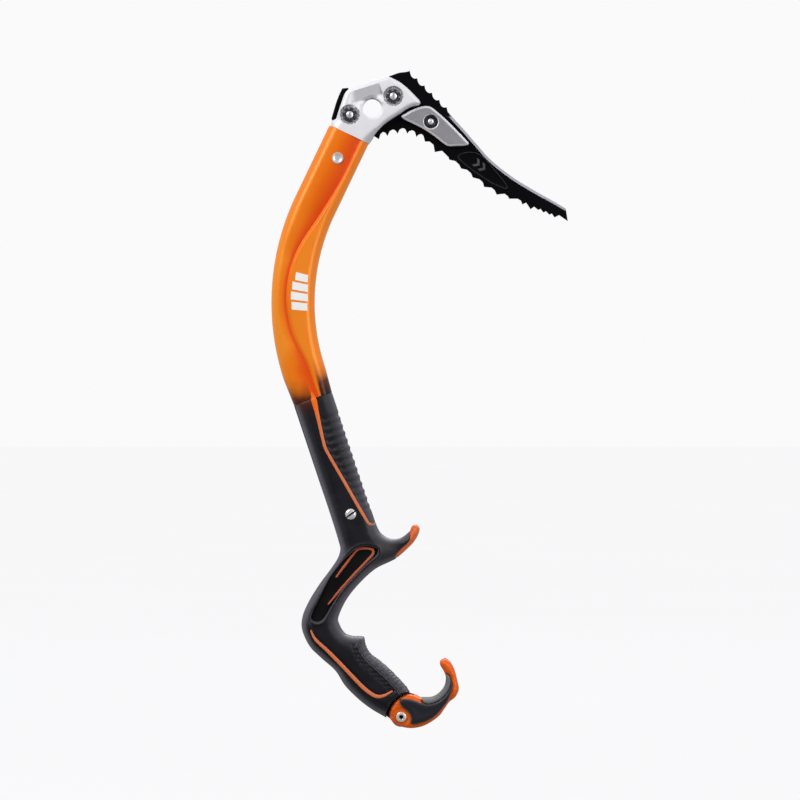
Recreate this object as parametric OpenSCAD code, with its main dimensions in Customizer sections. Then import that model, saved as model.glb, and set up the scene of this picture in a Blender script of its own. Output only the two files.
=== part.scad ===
// Technical ice tool for steep ice, with a bent shaft and a moulded handle.
// The origin is the centre of the carabiner eye in the head.
// X points towards the pick, Y runs across the tool and Z points up.

/* [Head] */
// Width of the head across its cheeks
head_w = 21; // [20:0.5:22]
// Radius of the carabiner eye
eye_r = 7.5; // [7:0.1:8]
// Thickness of the steel pick
pick_t = 4; // [3.5:0.1:4.5]
// Thickness of each clamp-on weight
weight_t = 6.5; // [5:0.5:8]
// Shank radius of the two pick bolts
pick_bolt_r = 3; // [2.8:0.1:3.2]

/* [Shaft] */
// Depth of the shaft tube, front to back
tube_d = 32.8; // [32:0.1:33.5]
// Depth of the shaft tube inside the handle
grip_tube_d = 27.4; // [27:0.1:27.8]
// Width of the shaft tube, side to side
tube_w = 20.6; // [20:0.2:21]
// Wall thickness of the shaft tube
tube_wall = 1.8; // [1.5:0.1:2.2]
// Radius of the bend along the middle of the tube
bend_r = 171; // [168:1:174]
// Lean of the upper shaft from the vertical
head_tilt = 25.6; // [25:0.1:26]
// Lean of the lower shaft from the vertical
grip_tilt = 18.4; // [18:0.1:19]

/* [Handle] */
// Width of the handle, side to side
handle_w = 27; // [26:0.5:28]
// Depth of the sleeve round the lower shaft, front to back
sleeve_d = 30.4; // [30.2:0.1:30.8]
// Width of the sleeve round the lower shaft, side to side
sleeve_w = 22.4; // [22:0.2:23]
// Thickness of the rigid core in the handle
core_t = 10; // [9:0.5:11]
// Depth of the side pockets below the handle's faces
pocket_depth = 2.8; // [2:0.2:3.2]

/* [Grip rest] */
// Width of the forked hook without its side pads
rest_w = 22; // [21:0.5:23]
// Thickness of each side pad
rest_pad_t = 2; // [1.5:0.5:2.5]
// Radius of the pivot bolt
pivot_r = 3.9; // [3.6:0.1:4]

/* [Hidden] */
$fn = 48;

fit = 0.05;          // side clearance between pieces that are fixed together
run = 0.07;          // radial clearance of the grip rest's pivot
big = 700;           // larger than the whole tool
left = 1;            // the +Y side
right = -1;          // the -Y side

// Places of the fasteners, as [x, z]
rear_bolt = [-17, -5.5];
front_bolt = [16, 8.5];
weight_bolt = [44.5, -10.5];
rivet_at = [-26.2, -38.3];
handle_bolt_at = [-16.2, -308];
pivot = [22, -461.4];

// Middle line of the shaft
bend_x = -60.2;
bend_z = -147.5;
bend_centre = [bend_x + bend_r, bend_z];
upper_run = 59.4;
lower_run = 127;
taper_run = 20;
tube_corner = 8;
slim_w = 19;
tang_len = 46;

// Widths and heights of small parts
washer_r = 7.2;
washer_t = 1.2;
nut_r = 5.5;
nut_h = 3.4;
seat_depth = 2.6;
slot_gap = 0.1;
trim_w = 2.6;
trim_proud = 0.3;
trim_deep = 1.2;
pad_ribs = 13;
rib_step = 5.8;
fork_gap = 12.4;
ear_r = 10.4;
lug_r = 8.4;
rest_face = rest_w / 2;
rest_outer = rest_face + rest_pad_t;

// ---- curves and plates -------------------------------------------------

function knot(p, i, loop) =
    loop ? p[(i + len(p)) % len(p)] : p[min(max(i, 0), len(p) - 1)];

function spline_at(a, b, c, d, t) =
    0.5 * (2 * b + (c - a) * t + (2 * a - 5 * b + 4 * c - d) * t * t
    + (3 * b - a - 3 * c + d) * t * t * t);

// A smooth line through hand-placed points
function smooth(p, n = 3, loop = false) = [
    for (i = [0 : len(p) - (loop ? 1 : 2)])
        for (j = [0 : n - 1])
            spline_at(knot(p, i - 1, loop), knot(p, i, loop),
                knot(p, i + 1, loop), knot(p, i + 2, loop), j / n),
    if (!loop) p[len(p) - 1]
];

function unit(v) = v / norm(v);

function side_of(p, i) =
    let (d = unit(p[min(i + 1, len(p) - 1)] - p[max(i - 1, 0)])) [-d[1], d[0]];

// A ribbon of constant width along a line
function ribbon(p, w) = concat(
    [for (i = [0 : len(p) - 1]) p[i] + side_of(p, i) * w / 2],
    [for (i = [len(p) - 1 : -1 : 0]) p[i] - side_of(p, i) * w / 2]
);

function rounded_box(w, d, r, n = 6) = [
    for (q = [0 : 3])
        for (i = [0 : n])
            let (a = 90 * q + 90 * i / n,
                 cx = (q == 0 || q == 3 ? 1 : -1) * (w / 2 - r),
                 cy = (q < 2 ? 1 : -1) * (d / 2 - r))
            [cx + r * cos(a), cy + r * sin(a)]
];

// A flat plate of thickness t, with its middle at y
module slab(t, y = 0) {
    translate([0, y + t / 2, 0]) rotate([90, 0, 0])
        linear_extrude(t) children();
}

// A plate whose edges step back by e on both faces
module soft_slab(t, e) {
    slab(t - 2 * e) children();
    slab(t - 0.6 * e) offset(delta = -0.4 * e) children();
    slab(t) offset(delta = -e) children();
}

// A round bar across the tool, from y0 to y1
module bar(at, r, y0, y1, sides = 48) {
    translate([at[0], y1, at[1]]) rotate([90, 0, 0])
        cylinder(r = r, h = y1 - y0, $fn = sides);
}

// Everything on one side of the plane y = side * from
module half(side, from) {
    translate([-big / 2, side > 0 ? from : -from - 60, -big])
        cube([big, 60, big + 100]);
}

// ---- the tube ----------------------------------------------------------

function bend_point(a) =
    bend_centre + bend_r * [cos(a), sin(a)];

upper_end = bend_point(180 - head_tilt);
lower_end = bend_point(180 + grip_tilt);

module at_upper() {
    translate([upper_end[0], 0, upper_end[1]])
        rotate([0, head_tilt, 0]) children();
}

module at_lower() {
    translate([lower_end[0], 0, lower_end[1]])
        rotate([0, 180 - grip_tilt, 0]) children();
}

// A thin collar of the tube's section that joins two of its stretches
module collar(depth, width, inset) {
    translate([0, 0, -0.5]) linear_extrude(1)
        polygon(rounded_box(depth - 2 * inset + 0.04, width - 2 * inset + 0.04,
            tube_corner - inset));
}

// The tube as a solid, made smaller all round by inset
module tube_solid(inset) {
    main = rounded_box(tube_d - 2 * inset, tube_w - 2 * inset, tube_corner - inset);
    slim = rounded_box(grip_tube_d - 2 * inset, slim_w - 2 * inset, tube_corner - inset);
    shoulder = inset > 0 ? slim : rounded_box(sleeve_d, sleeve_w - 0.6, tube_corner);
    at_upper() collar(tube_d, tube_w, inset);
    at_lower() collar(tube_d, tube_w, inset);
    at_lower() translate([0, 0, taper_run]) collar(grip_tube_d, slim_w, inset);
    at_upper() linear_extrude(upper_run) polygon(main);
    translate([bend_centre[0], 0, bend_centre[1]]) rotate([90, 0, 0])
        rotate([0, 0, 180 - head_tilt])
            rotate_extrude(angle = head_tilt + grip_tilt, $fn = 180)
                translate([bend_r, 0]) polygon(main);
    at_lower() hull() {
        linear_extrude(0.01) polygon(main);
        translate([0, 0, taper_run]) linear_extrude(0.01) polygon(shoulder);
    }
    at_lower() translate([0, 0, taper_run])
        linear_extrude(lower_run - taper_run) polygon(slim);
}

// The straight lower tube alone, grown by gap, as a cutter
module lower_tube_space(gap) {
    at_lower() translate([0, 0, taper_run])
        linear_extrude(lower_run - taper_run + gap)
            polygon(rounded_box(grip_tube_d + 2 * gap, slim_w + 2 * gap, tube_corner));
}

// The sleeve round the lower tube as a solid
module sleeve_solid() {
    at_lower() translate([0, 0, taper_run + 0.1])
        linear_extrude(lower_run - taper_run)
            polygon(rounded_box(sleeve_d, sleeve_w, tube_corner + 1.5));
}

module shaft() {
    color("orangered") difference() {
        tube_solid(0);
        tube_solid(tube_wall);
        at_upper() translate([0, 0, upper_run - 1])
            linear_extrude(2) polygon(rounded_box(tube_d - 2 * tube_wall,
                tube_w - 2 * tube_wall, tube_corner - tube_wall));
        bar(rivet_at, 4.25 + fit, -20, 20);
        bar(handle_bolt_at, 2.5 + fit, -20, 20);
    }
}

module head_rivet() {
    color("silver") bar(rivet_at, 4.25, -tube_w / 2 - 0.4, tube_w / 2 + 0.4);
}

// ---- head --------------------------------------------------------------

head_back = [[-32.1, -13.2], [-30.6, -9.4], [-27.5, -8.2], [-24, 2], [-22, 8]];
head_top = [[-22, 8], [-19.6, 12.6], [-15, 15.2], [-6, 18.4], [3, 21.4], [11.8, 23.8]];
head_nose = [[11.8, 23.8], [20, 20], [27, 14.6], [33, 8.6], [36, 5.2], [36.4, 3.2], [34.6, 1.9]];
head_throat = [[34.6, 1.9], [28, 0.2], [20, -5], [10, -11.6], [3, -18.6], [-0.4, -24.2], [-2.7, -27.3]];

module head_outline() {
    polygon(concat(head_back, smooth(head_top), smooth(head_nose), smooth(head_throat)));
}

// The slot for the pick: closed below, open above and at both ends
module head_slot_outline() {
    polygon([[-45, -8.6], [-31, -8.6], [-22, -13.4], [-12, -14.1],
        [-4.4, -17.2], [1.2, -21.9], [8, -28], [60, -28], [60, 45], [-45, 45]]);
}

module head() {
    color("silver") difference() {
        union() {
            soft_slab(head_w, 2) head_outline();
            at_upper() translate([0, 0, upper_run - tang_len])
                linear_extrude(tang_len) polygon(rounded_box(
                    tube_d - 2 * tube_wall - 2 * fit,
                    tube_w - 2 * tube_wall - 2 * fit,
                    tube_corner - tube_wall));
        }
        slab(pick_t + 2 * slot_gap) head_slot_outline();
        bar([0, 0], eye_r, -30, 30);
        for (s = [left, right]) {
            translate([0, s * head_w / 2, 0]) rotate([s * 90, 0, 0])
                cylinder(r1 = eye_r + 2, r2 = eye_r, h = 2);
            for (at = [rear_bolt, front_bolt])
                bar(at, washer_r + 0.2, s > 0 ? head_w / 2 - seat_depth : -30,
                    s > 0 ? 30 : -head_w / 2 + seat_depth);
        }
        for (at = [rear_bolt, front_bolt])
            bar(at, pick_bolt_r + fit, -30, 30);
        bar(rivet_at, 4.25 + fit, -30, 30);
    }
}

// Upper edge of the pick from its tail to the beak, hidden in the head
pick_tail = [[-30.6, -9], [-31, -7.6], [-27.6, 4], [-25.2, 10.4], [-22.8, 15.2], [-18.2, 15.6], [-18, 13.8]];
pick_hidden = [[-14, 14.4], [-5, 17.6], [8, 21.4]];
pick_beak = [[11.5, 24], [15, 25.2], [20, 27], [25, 27.6]];
// Upper teeth: the first tip, the step to the next, and the hooked edge behind a tip
top_tooth = [28.5, 28.4];
top_step = [5.6, -5.5];
top_teeth = 6;
top_edge = [[0, 0], [0.5, -2.3], [1.6, -4.5], [3.6, -5.8]];
pick_back = [[60, -5.6], [70, -16.5], [80, -28], [90, -39], [105, -51], [120, -60.5], [135, -69], [147, -76]];
pick_point = [148.5, -85.5];
// Lower teeth, from the point back to the head, as tip and notch in turn
fine_teeth = [[142, -81], [138.5, -82.7], [136.5, -79.8], [134.5, -80.6], [132, -78],
    [130, -79], [128, -76.2], [126, -77], [123, -74.5], [120.3, -76.5], [117, -71.5]];
// Long lower teeth: each tip, then the two ends of the round notch behind it
long_teeth = [
    [[114, -72.8], [113, -70], [110.5, -68.5]],
    [[104, -68.5], [103, -66.5], [100.5, -64.7]],
    [[94.5, -65.3], [93, -62], [90.5, -60]],
    [[85, -59.5], [84, -56], [81.5, -53.7]],
    [[76.3, -52.3], [75, -49], [72, -46.5]],
    [[67.5, -45.5], [66, -42.5], [63, -39.8]],
    [[58.5, -38.8], [58, -37], [53, -32]],
    [[47.5, -33], [46.5, -27.5], [43.5, -25]]
];
// Short lower teeth: each tip, then the three points of the arch behind it
short_teeth = [
    [[40, -25], [38.9, -20.8], [37, -19.3], [35, -19.9]],
    [[33.5, -21.5], [32.4, -17.8], [30.4, -16.5], [28.2, -17]],
    [[26.5, -19], [25.3, -16], [23, -14.8], [20.7, -15.9]],
    [[19.3, -19], [17.7, -16.8], [15.4, -15.9], [13.2, -17.2]],
    [[11.5, -20.8], [10, -18.4], [8, -17.8], [6.2, -19.4]],
    [[5, -23.3]],
    [[1.5, -21]]
];
pick_foot = [[-4, -16.8], [-12, -13.7], [-22, -13], [-29, -9.2]];

module pick_outline() {
    polygon(concat(
        pick_tail, pick_hidden, smooth(pick_beak),
        [for (i = [0 : top_teeth - 1], q = top_edge)
            if (i < top_teeth - 1 || q[1] > -4) top_tooth + i * top_step + q],
        smooth(pick_back), [pick_point], fine_teeth,
        [for (t = long_teeth) each t],
        [for (t = short_teeth) each t],
        pick_foot));
}

module pick() {
    color("dimgray") difference() {
        soft_slab(pick_t, 0.6) pick_outline();
        bar([0, 0], eye_r + 0.8, -10, 10);
        for (at = [rear_bolt, front_bolt])
            bar(at, pick_bolt_r + fit, -10, 10);
        bar(weight_bolt, 2.5 + fit, -10, 10);
    }
}

// ---- pick bolts and weights --------------------------------------------

seat_y = head_w / 2 - seat_depth;

// Bolt with a low round head on the left and its end on the right
module pick_bolt(at) {
    color("lightgray") {
        bar(at, pick_bolt_r, -seat_y - washer_t - nut_h - 0.8, seat_y + washer_t + 0.2);
        difference() {
            bar(at, nut_r, seat_y + washer_t + fit, seat_y + washer_t + nut_h);
            bar(at, 2.4, seat_y + washer_t + 1.4, 30, 6);
        }
    }
}

module pick_nut(at) {
    color("dimgray") difference() {
        bar(at, nut_r, -seat_y - washer_t - nut_h, -seat_y - washer_t - fit, 6);
        bar(at, pick_bolt_r + fit, -30, 0);
    }
}

module bolt_washers() {
    color("gray") for (at = [rear_bolt, front_bolt], s = [left, right]) {
        inner = s > 0 ? seat_y + fit / 2 : -seat_y - washer_t;
        difference() {
            bar(at, washer_r, inner, inner + washer_t - fit / 2);
            bar(at, pick_bolt_r + fit, -30, 30);
        }
    }
}

weight_line = [[22, -6.6], [25, -4.4], [30, -1.6], [35, 0.3], [40, 1.3], [44, 0.8], [48, -2],
    [56, -9], [64, -17], [72, -25.4], [73, -27.6], [70, -28.6], [64, -28.8], [58, -28.9],
    [54, -26.8], [46, -20.6], [38, -15.4], [30, -11.4], [25, -9]];
weight_y = pick_t / 2 + fit;

module weight(side) {
    color("silver") difference() {
        intersection() {
            soft_slab(2 * (weight_y + weight_t), 1.6) polygon(smooth(weight_line, 2, true));
            half(side, weight_y);
        }
        bar(weight_bolt, 2.5 + fit, -30, 30);
        bar(weight_bolt, 5.4, side > 0 ? weight_y + weight_t - 2.4 : -30,
            side > 0 ? 30 : -weight_y - weight_t + 2.4);
    }
}

weight_seat = weight_y + weight_t - 2.4;

module weight_screw() {
    color("lightgray") {
        bar(weight_bolt, 2.5, -weight_seat - 2.6, weight_seat + 0.2);
        difference() {
            bar(weight_bolt, 4.8, weight_seat + fit, weight_seat + 2.8);
            bar(weight_bolt, 2, weight_seat + 1.2, 30, 6);
        }
    }
}

module weight_nut() {
    color("dimgray") difference() {
        bar(weight_bolt, 4.8, -weight_seat - 2.2, -weight_seat - fit);
        bar(weight_bolt, 2.5 + fit, -30, 0);
    }
}

// ---- handle ------------------------------------------------------------

handle_back = [[-29.4, -316], [-25.5, -329], [-24.3, -335], [-26.4, -342], [-32, -350.5],
    [-40.5, -362], [-48.5, -375], [-53, -386], [-53.2, -396], [-47.5, -408.5],
    [-38, -418], [-28, -427], [-20.5, -438.5], [-10, -449], [0, -456.5], [10.8, -462.7]];
handle_end = [[10.8, -462.7], [10.4, -458.6], [12, -454], [15, -449], [20, -444.9], [25, -442.9], [28.4, -443]];
handle_palm = [[28.4, -443], [25, -438], [15, -427.5], [6, -419.5], [-1, -414.2], [-4.4, -408.6], [-5.8, -403]];
handle_shelf = [[-5.8, -403], [-7.2, -401.2], [-15, -400.8], [-21, -398.4], [-25, -392], [-25.6, -386],
    [-19.5, -373], [-10, -361], [2, -350], [14, -344], [18, -342]];
handle_rest = [[18, -342], [26.5, -335], [32.5, -328], [35.5, -321], [34.6, -317.4], [31, -317],
    [27.6, -322], [21, -326.5], [13, -326.8], [6, -322], [2.2, -314]];

module handle_outline() {
    polygon(concat(smooth(handle_back), smooth(handle_end), smooth(handle_palm),
        smooth(handle_shelf), smooth(handle_rest)));
}

module finger_tip_outline() {
    polygon(concat(
        smooth([[28.4, -321.6], [30.4, -317.2], [34, -316.4], [36, -319.6], [34.5, -324.5],
            [31, -330], [26, -335], [21, -339.5], [17.6, -341.8]]),
        smooth([[17, -339.2], [22, -334.4], [27.6, -330], [29, -325.4]])));
}

// Shallow pocket in each face of the handle
module pocket_outline() {
    polygon(smooth([[3.6, -333.4], [4.9, -336.2], [3.4, -339.6], [-3.7, -345.8], [-12, -354.2],
        [-22, -365], [-28.7, -375], [-34.5, -385], [-38.6, -389.4], [-43, -390.2],
        [-46.8, -387.5], [-46, -382.5], [-42.4, -375], [-33.7, -358.3], [-28.7, -350.8],
        [-20.5, -341], [-12, -333.6], [-4, -331.6]], 2, true));
}

loop_line = smooth([[-27.5, -356], [-20, -345.8], [-13, -336.6], [-9.4, -334.2], [-3, -333.9],
    [0.6, -335.4], [0.2, -338.6], [-5, -344.4], [-15, -355], [-25, -366.3], [-33.6, -376.6]]);
lower_trim_line = smooth([[-46.5, -395.5], [-43, -402.5], [-35, -410], [-25, -420], [-15, -430.5],
    [-5, -440.5], [3, -445.5], [9, -445], [15.5, -441.5]]);
upper_trim_line = smooth([[-44.2, -221.2], [-41.1, -234.3], [-38.1, -248], [-35.8, -257],
    [-33.3, -262.2], [-26, -275], [-19.6, -286], [-12, -299.5], [-4.6, -312.4]]);

// Rubber pad on the finger side of the lower handle
module lower_pad_outline() {
    polygon(concat(smooth(handle_palm),
        smooth([[-10.6, -405], [-9, -411], [-4, -418.4], [3, -425], [12, -433.4], [21, -442.4]])));
}

module upper_pad_outline() {
    polygon(concat(upper_trim_line,
        [[-2.4, -315.6], [2.4, -313.8], [-5.4, -289], [-17.2, -253.6], [-28, -212], [-46, -216]]));
}

module finger_cut() {
    slab(60) finger_tip_outline();
}

module handle_core() {
    // Plug in the tube, slab between the shells, and the lug for the grip rest
    plug = [grip_tube_d - 2 * tube_wall - 2.8, core_t];
    color("darkslategray") difference() {
        union() {
            difference() {
                union() {
                    slab(core_t) offset(delta = -1.2) handle_outline();
                    intersection() {
                        sleeve_solid();
                        slab(core_t) square(2 * big, center = true);
                    }
                }
                lower_tube_space(fit);
                slab(60) upper_pad_outline();
            }
            at_lower() translate([-plug[0] / 2, -plug[1] / 2, 58])
                cube([plug[0], plug[1], lower_run - 56]);
            slab(core_t) {
                translate(pivot) circle(r = lug_r);
                polygon([[27, -454.6], [20, -443], [2, -440], [4, -456], [16, -467.3]]);
            }
        }
        slab(60) offset(delta = fit) finger_tip_outline();
        slab(60) lower_pad_outline();
        bar(handle_bolt_at, 2.5 + fit, -20, 20);
        bar(pivot, pivot_r + run, -20, 20);
    }
}

module handle_shell(side) {
    face = handle_w / 2;
    color("#232226") difference() {
        intersection() {
            union() {
                soft_slab(handle_w, 3) handle_outline();
                sleeve_solid();
            }
            half(side, core_t / 2 + fit);
        }
        lower_tube_space(fit);
        slab(60) upper_pad_outline();
        slab(60) polygon(ribbon(upper_trim_line, trim_w));
        bar(handle_bolt_at, 2.5 + fit, -20, 20);
        finger_cut();
        slab(60) lower_pad_outline();
        slab(20, side * (face - pocket_depth + 10)) pocket_outline();
        slab(20, side * (face - pocket_depth - 1 + 10)) polygon(ribbon(loop_line, 2));
        slab(20, side * (face - 1 + 10)) polygon(ribbon(lower_trim_line, trim_w));
    }
}

module finger_rest_tip() {
    color("darkorange") soft_slab(18, 2) offset(delta = -fit) finger_tip_outline();
}

module lower_grip_pad() {
    color("#2b292e") soft_slab(handle_w - 1, 2.4) offset(delta = -fit) lower_pad_outline();
}

module upper_grip_pad() {
    color("#2b292e") difference() {
        intersection() {
            sleeve_solid();
            slab(60) upper_pad_outline();
        }
        lower_tube_space(fit);
        slab(60) polygon(ribbon(upper_trim_line, trim_w + 2 * fit));
        for (i = [0 : pad_ribs - 1])
            at_lower() translate([-sleeve_d / 2 - 1.7, -20, taper_run + 12 + i * rib_step])
                cube([2.4, 40, 1.6]);
        slab(60) handle_outline();
    }
}

module upper_trim(side) {
    color("darkorange") slab(trim_deep + trim_proud, side * (sleeve_w + trim_proud - trim_deep) / 2)
        polygon(ribbon(upper_trim_line, trim_w - 2 * fit));
}

module loop_trim(side) {
    floor_y = handle_w / 2 - pocket_depth;
    color("darkorange") slab(1.6, side * (floor_y - 0.2))
        polygon(ribbon(loop_line, 2 - 2 * fit));
}

module lower_trim(side) {
    face = handle_w / 2;
    color("darkorange") slab(1 + trim_proud - fit, side * (face - (1 - trim_proud - fit) / 2))
        polygon(ribbon(lower_trim_line, trim_w - 2 * fit));
}

module handle_bolt() {
    y = sleeve_w / 2 + fit;
    color("silver") {
        bar(handle_bolt_at, 2.5, -y - 0.4, y + 2.4);
        difference() {
            bar(handle_bolt_at, 4.25, -y - 1.8, -y);
            translate([handle_bolt_at[0] - 5, -y - 3, handle_bolt_at[1] - 0.5])
                cube([10, 2, 1]);
        }
    }
}

module handle_nut() {
    y = sleeve_w / 2 + fit;
    color("silver") difference() {
        bar(handle_bolt_at, 4.25, y, y + 2);
        bar(handle_bolt_at, 2.5 + fit, 0, 20);
    }
}

// ---- grip rest ---------------------------------------------------------

rest_back = [[13.4, -463], [16.4, -466.2], [21, -468.8], [30, -470.2], [40, -468], [50, -461.6],
    [55, -455.2], [58.6, -450.2], [63, -446.6], [65.6, -441], [65, -436], [62.6, -427],
    [59.6, -421.2], [55.8, -417.8]];
rest_inner = [[55.8, -417.8], [52.6, -419.2], [51.4, -422], [54.8, -428.2], [56, -434], [54.6, -440],
    [50.4, -445], [45, -447.8], [38, -448], [32.4, -445.6], [27, -444.5], [21.6, -446.2],
    [16, -450.9], [13.2, -456], [12.6, -460]];
liner_inner = [[55.4, -429.6], [56, -434], [54.6, -440], [50.4, -445], [45, -447.8], [38.6, -448.1]];
liner_outer = [[40, -451.4], [46, -451], [53, -447], [58, -440.6], [59.4, -434], [57.6, -430]];

module rest_outline() {
    polygon(concat(smooth(rest_back), smooth(rest_inner)));
}

module liner_outline() {
    polygon(concat(smooth(liner_inner), smooth(liner_outer)));
}

module rest_pad_outline() {
    polygon(smooth([[21.4, -448], [28, -447.8], [34, -449.6], [40, -451.6], [46.2, -451.2],
        [53.2, -447.2], [58.2, -440.8], [59.6, -434], [60.6, -437], [60, -442], [58, -448],
        [55, -452.6], [48, -460.5], [40, -465], [33, -466.8], [29, -466.4], [29.2, -462],
        [27.6, -458], [23, -454], [20.8, -450.6]], 3, true));
}

module grip_rest_frame() {
    color("orangered") difference() {
        soft_slab(rest_w, 2) rest_outline();
        slab(60) offset(delta = fit) liner_outline();
        slab(fork_gap) {
            translate(pivot) circle(r = ear_r);
            polygon([pivot + [9.4, 4.6], [32, -440], [0, -440], [0, -475], [17, -475], pivot + [3, -9.9]]);
        }
        bar(pivot, pivot_r + fit, -30, 30);
    }
}

module grip_rest_pad(side) {
    color("#232226") slab(rest_pad_t - fit, side * (rest_face + rest_pad_t / 2))
        rest_pad_outline();
}

module grip_rest_liner() {
    color("#57565a") slab(2 * rest_outer) offset(delta = -0.01) liner_outline();
}

module grip_rest_bolt() {
    color("white") difference() {
        union() {
            bar(pivot, pivot_r, -rest_face - 1.2, rest_face + 0.2);
            bar(pivot, pivot_r - 0.9, rest_face, rest_face + 3);
        }
        bar(pivot, 1.7, -30, -rest_face + 5, 6);
    }
}

module grip_rest_nut() {
    color("silver") difference() {
        bar(pivot, 5.6, rest_face + fit, rest_face + 2.8, 6);
        bar(pivot, pivot_r - 0.9 + fit, 0, 30);
        bar(pivot, pivot_r + fit, 0, rest_face + 0.25);
    }
}

module friction_washers() {
    color("gray") for (s = [left, right]) {
        inner = s > 0 ? core_t / 2 + 0.1 : -fork_gap / 2 + fit;
        difference() {
            bar(pivot, lug_r - 0.4, inner, inner + (fork_gap - core_t) / 2 - 0.1 - fit);
            bar(pivot, pivot_r + fit, -30, 30);
        }
    }
}

head();
pick();
pick_bolt(rear_bolt);  // pick_bolt_rear
pick_nut(rear_bolt);  // pick_nut_rear
pick_bolt(front_bolt);  // pick_bolt_front
pick_nut(front_bolt);  // pick_nut_front
bolt_washers();
weight(left);  // weight_left
weight(right);  // weight_right
weight_screw();
weight_nut();
shaft();
head_rivet();
handle_core();
handle_shell(left);  // handle_shell_left
handle_shell(right);  // handle_shell_right
finger_rest_tip();
upper_grip_pad();
lower_grip_pad();
upper_trim(left);  // upper_trim_left
upper_trim(right);  // upper_trim_right
loop_trim(left);  // loop_trim_left
loop_trim(right);  // loop_trim_right
lower_trim(left);  // lower_trim_left
lower_trim(right);  // lower_trim_right
handle_bolt();
handle_nut();
grip_rest_frame();
grip_rest_pad(left);  // grip_rest_pad_left
grip_rest_pad(right);  // grip_rest_pad_right
grip_rest_liner();
grip_rest_bolt();
grip_rest_nut();
friction_washers();
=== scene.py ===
"""Looks of the technical ice tool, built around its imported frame.

Outlines are in millimetres in the side plane (x, z); heights run across the tool (y).
The photographed side is the right side, at negative y.
"""

import math

import bmesh
import bpy
import numpy as np
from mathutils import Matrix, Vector
from mathutils.geometry import delaunay_2d_cdt


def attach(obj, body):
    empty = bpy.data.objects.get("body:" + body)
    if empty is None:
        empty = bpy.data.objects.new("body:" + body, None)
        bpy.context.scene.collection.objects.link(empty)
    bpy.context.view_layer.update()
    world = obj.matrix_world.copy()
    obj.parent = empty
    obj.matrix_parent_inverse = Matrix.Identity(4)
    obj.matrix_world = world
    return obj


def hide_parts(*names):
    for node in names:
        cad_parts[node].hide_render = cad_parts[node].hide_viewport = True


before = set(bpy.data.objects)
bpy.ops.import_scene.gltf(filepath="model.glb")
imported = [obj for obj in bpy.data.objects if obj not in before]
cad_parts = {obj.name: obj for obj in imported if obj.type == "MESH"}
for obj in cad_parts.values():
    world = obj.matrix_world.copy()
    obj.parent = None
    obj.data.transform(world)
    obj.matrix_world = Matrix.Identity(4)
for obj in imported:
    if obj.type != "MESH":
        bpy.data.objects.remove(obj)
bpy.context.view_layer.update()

MM = 0.001
LEFT, RIGHT = 1, -1
SIDES = ((RIGHT, "right"), (LEFT, "left"))


# ---- camera and light --------------------------------------------------

CAMERA_AWAY = 2.6
FIELD = 0.608
FIELD_CENTRE = (0.02105, -0.2215)
SENSOR = 36


def show(name, data):
    """An object for some data, linked into the scene."""
    made = bpy.data.objects.new(name, data)
    bpy.context.scene.collection.objects.link(made)
    return made


def make_camera():
    data = bpy.data.cameras.new("camera")
    data.sensor_width = SENSOR
    data.lens = SENSOR * CAMERA_AWAY / FIELD
    data.clip_end = 50
    camera = show("camera", data)
    camera.location = (FIELD_CENTRE[0], -CAMERA_AWAY, FIELD_CENTRE[1])
    camera.rotation_euler = (math.pi / 2, 0, 0)
    bpy.context.scene.camera = camera


def area_light(name, place, aim, size, power):
    data = bpy.data.lights.new(name, "AREA")
    data.shape = "RECTANGLE"
    data.size, data.size_y = size
    data.energy = power
    lamp = show(name, data)
    lamp.location = place
    lamp.rotation_euler = (Vector(aim) - Vector(place)).to_track_quat("-Z", "Y").to_euler()


# Brightness of the studio from the camera's side (0) to behind the tool (1), and from
# below (0) to above (1)
WORLD_FRONT = ((0.0, 0.08), (0.24, 0.18), (0.37, 0.66), (0.5, 1.0), (0.75, 0.9), (1.0, 0.6))
WORLD_ABOVE = ((0.0, 0.48), (0.5, 0.82), (1.0, 0.8))
BACKDROP = (0.955, 0.955, 0.965, 1)


def make_world():
    world = bpy.data.worlds.new("studio")
    bpy.context.scene.world = world
    world.use_nodes = True
    tree = world.node_tree
    tree.nodes.clear()
    node, link = tree.nodes.new, tree.links.new
    out = node("ShaderNodeOutputWorld")
    seen, lit = node("ShaderNodeBackground"), node("ShaderNodeBackground")
    mix, path = node("ShaderNodeMixShader"), node("ShaderNodeLightPath")
    seen.inputs["Color"].default_value = BACKDROP
    where, split = node("ShaderNodeTexCoord"), node("ShaderNodeSeparateXYZ")
    link(where.outputs["Generated"], split.inputs[0])

    def ramp(value, stops):
        half, grade = node("ShaderNodeMath"), node("ShaderNodeValToRGB")
        half.operation = "MULTIPLY_ADD"
        half.inputs[1].default_value = half.inputs[2].default_value = 0.5
        link(value, half.inputs[0])
        link(half.outputs[0], grade.inputs["Fac"])
        marks = grade.color_ramp.elements
        while len(marks) < len(stops):
            marks.new(0.5)
        for mark, (at, level) in zip(marks, stops):
            mark.position, mark.color = at, (level, level, level, 1)
        return grade.outputs["Color"]

    front = ramp(split.outputs["Y"], WORLD_FRONT)
    above = ramp(split.outputs["Z"], WORLD_ABOVE)
    link(front, lit.inputs["Color"])
    link(above, lit.inputs["Strength"])
    link(path.outputs["Is Camera Ray"], mix.inputs["Fac"])
    link(lit.outputs[0], mix.inputs[1])
    link(seen.outputs[0], mix.inputs[2])
    link(mix.outputs[0], out.inputs["Surface"])


make_camera()
make_world()
area_light("key", (-1.2, -1.5, 1.0), (0, 0, -0.2), (1.1, 1.1), 33)
area_light("fill", (1.15, -1.4, 0.15), (0, 0, -0.25), (0.9, 1.4), 16)
area_light("rim", (0.3, 1.5, 0.8), (0, 0, -0.2), (1.6, 0.8), 16)
bpy.context.scene.view_settings.view_transform = "Standard"


# ---- lines in the side plane -------------------------------------------


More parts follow.
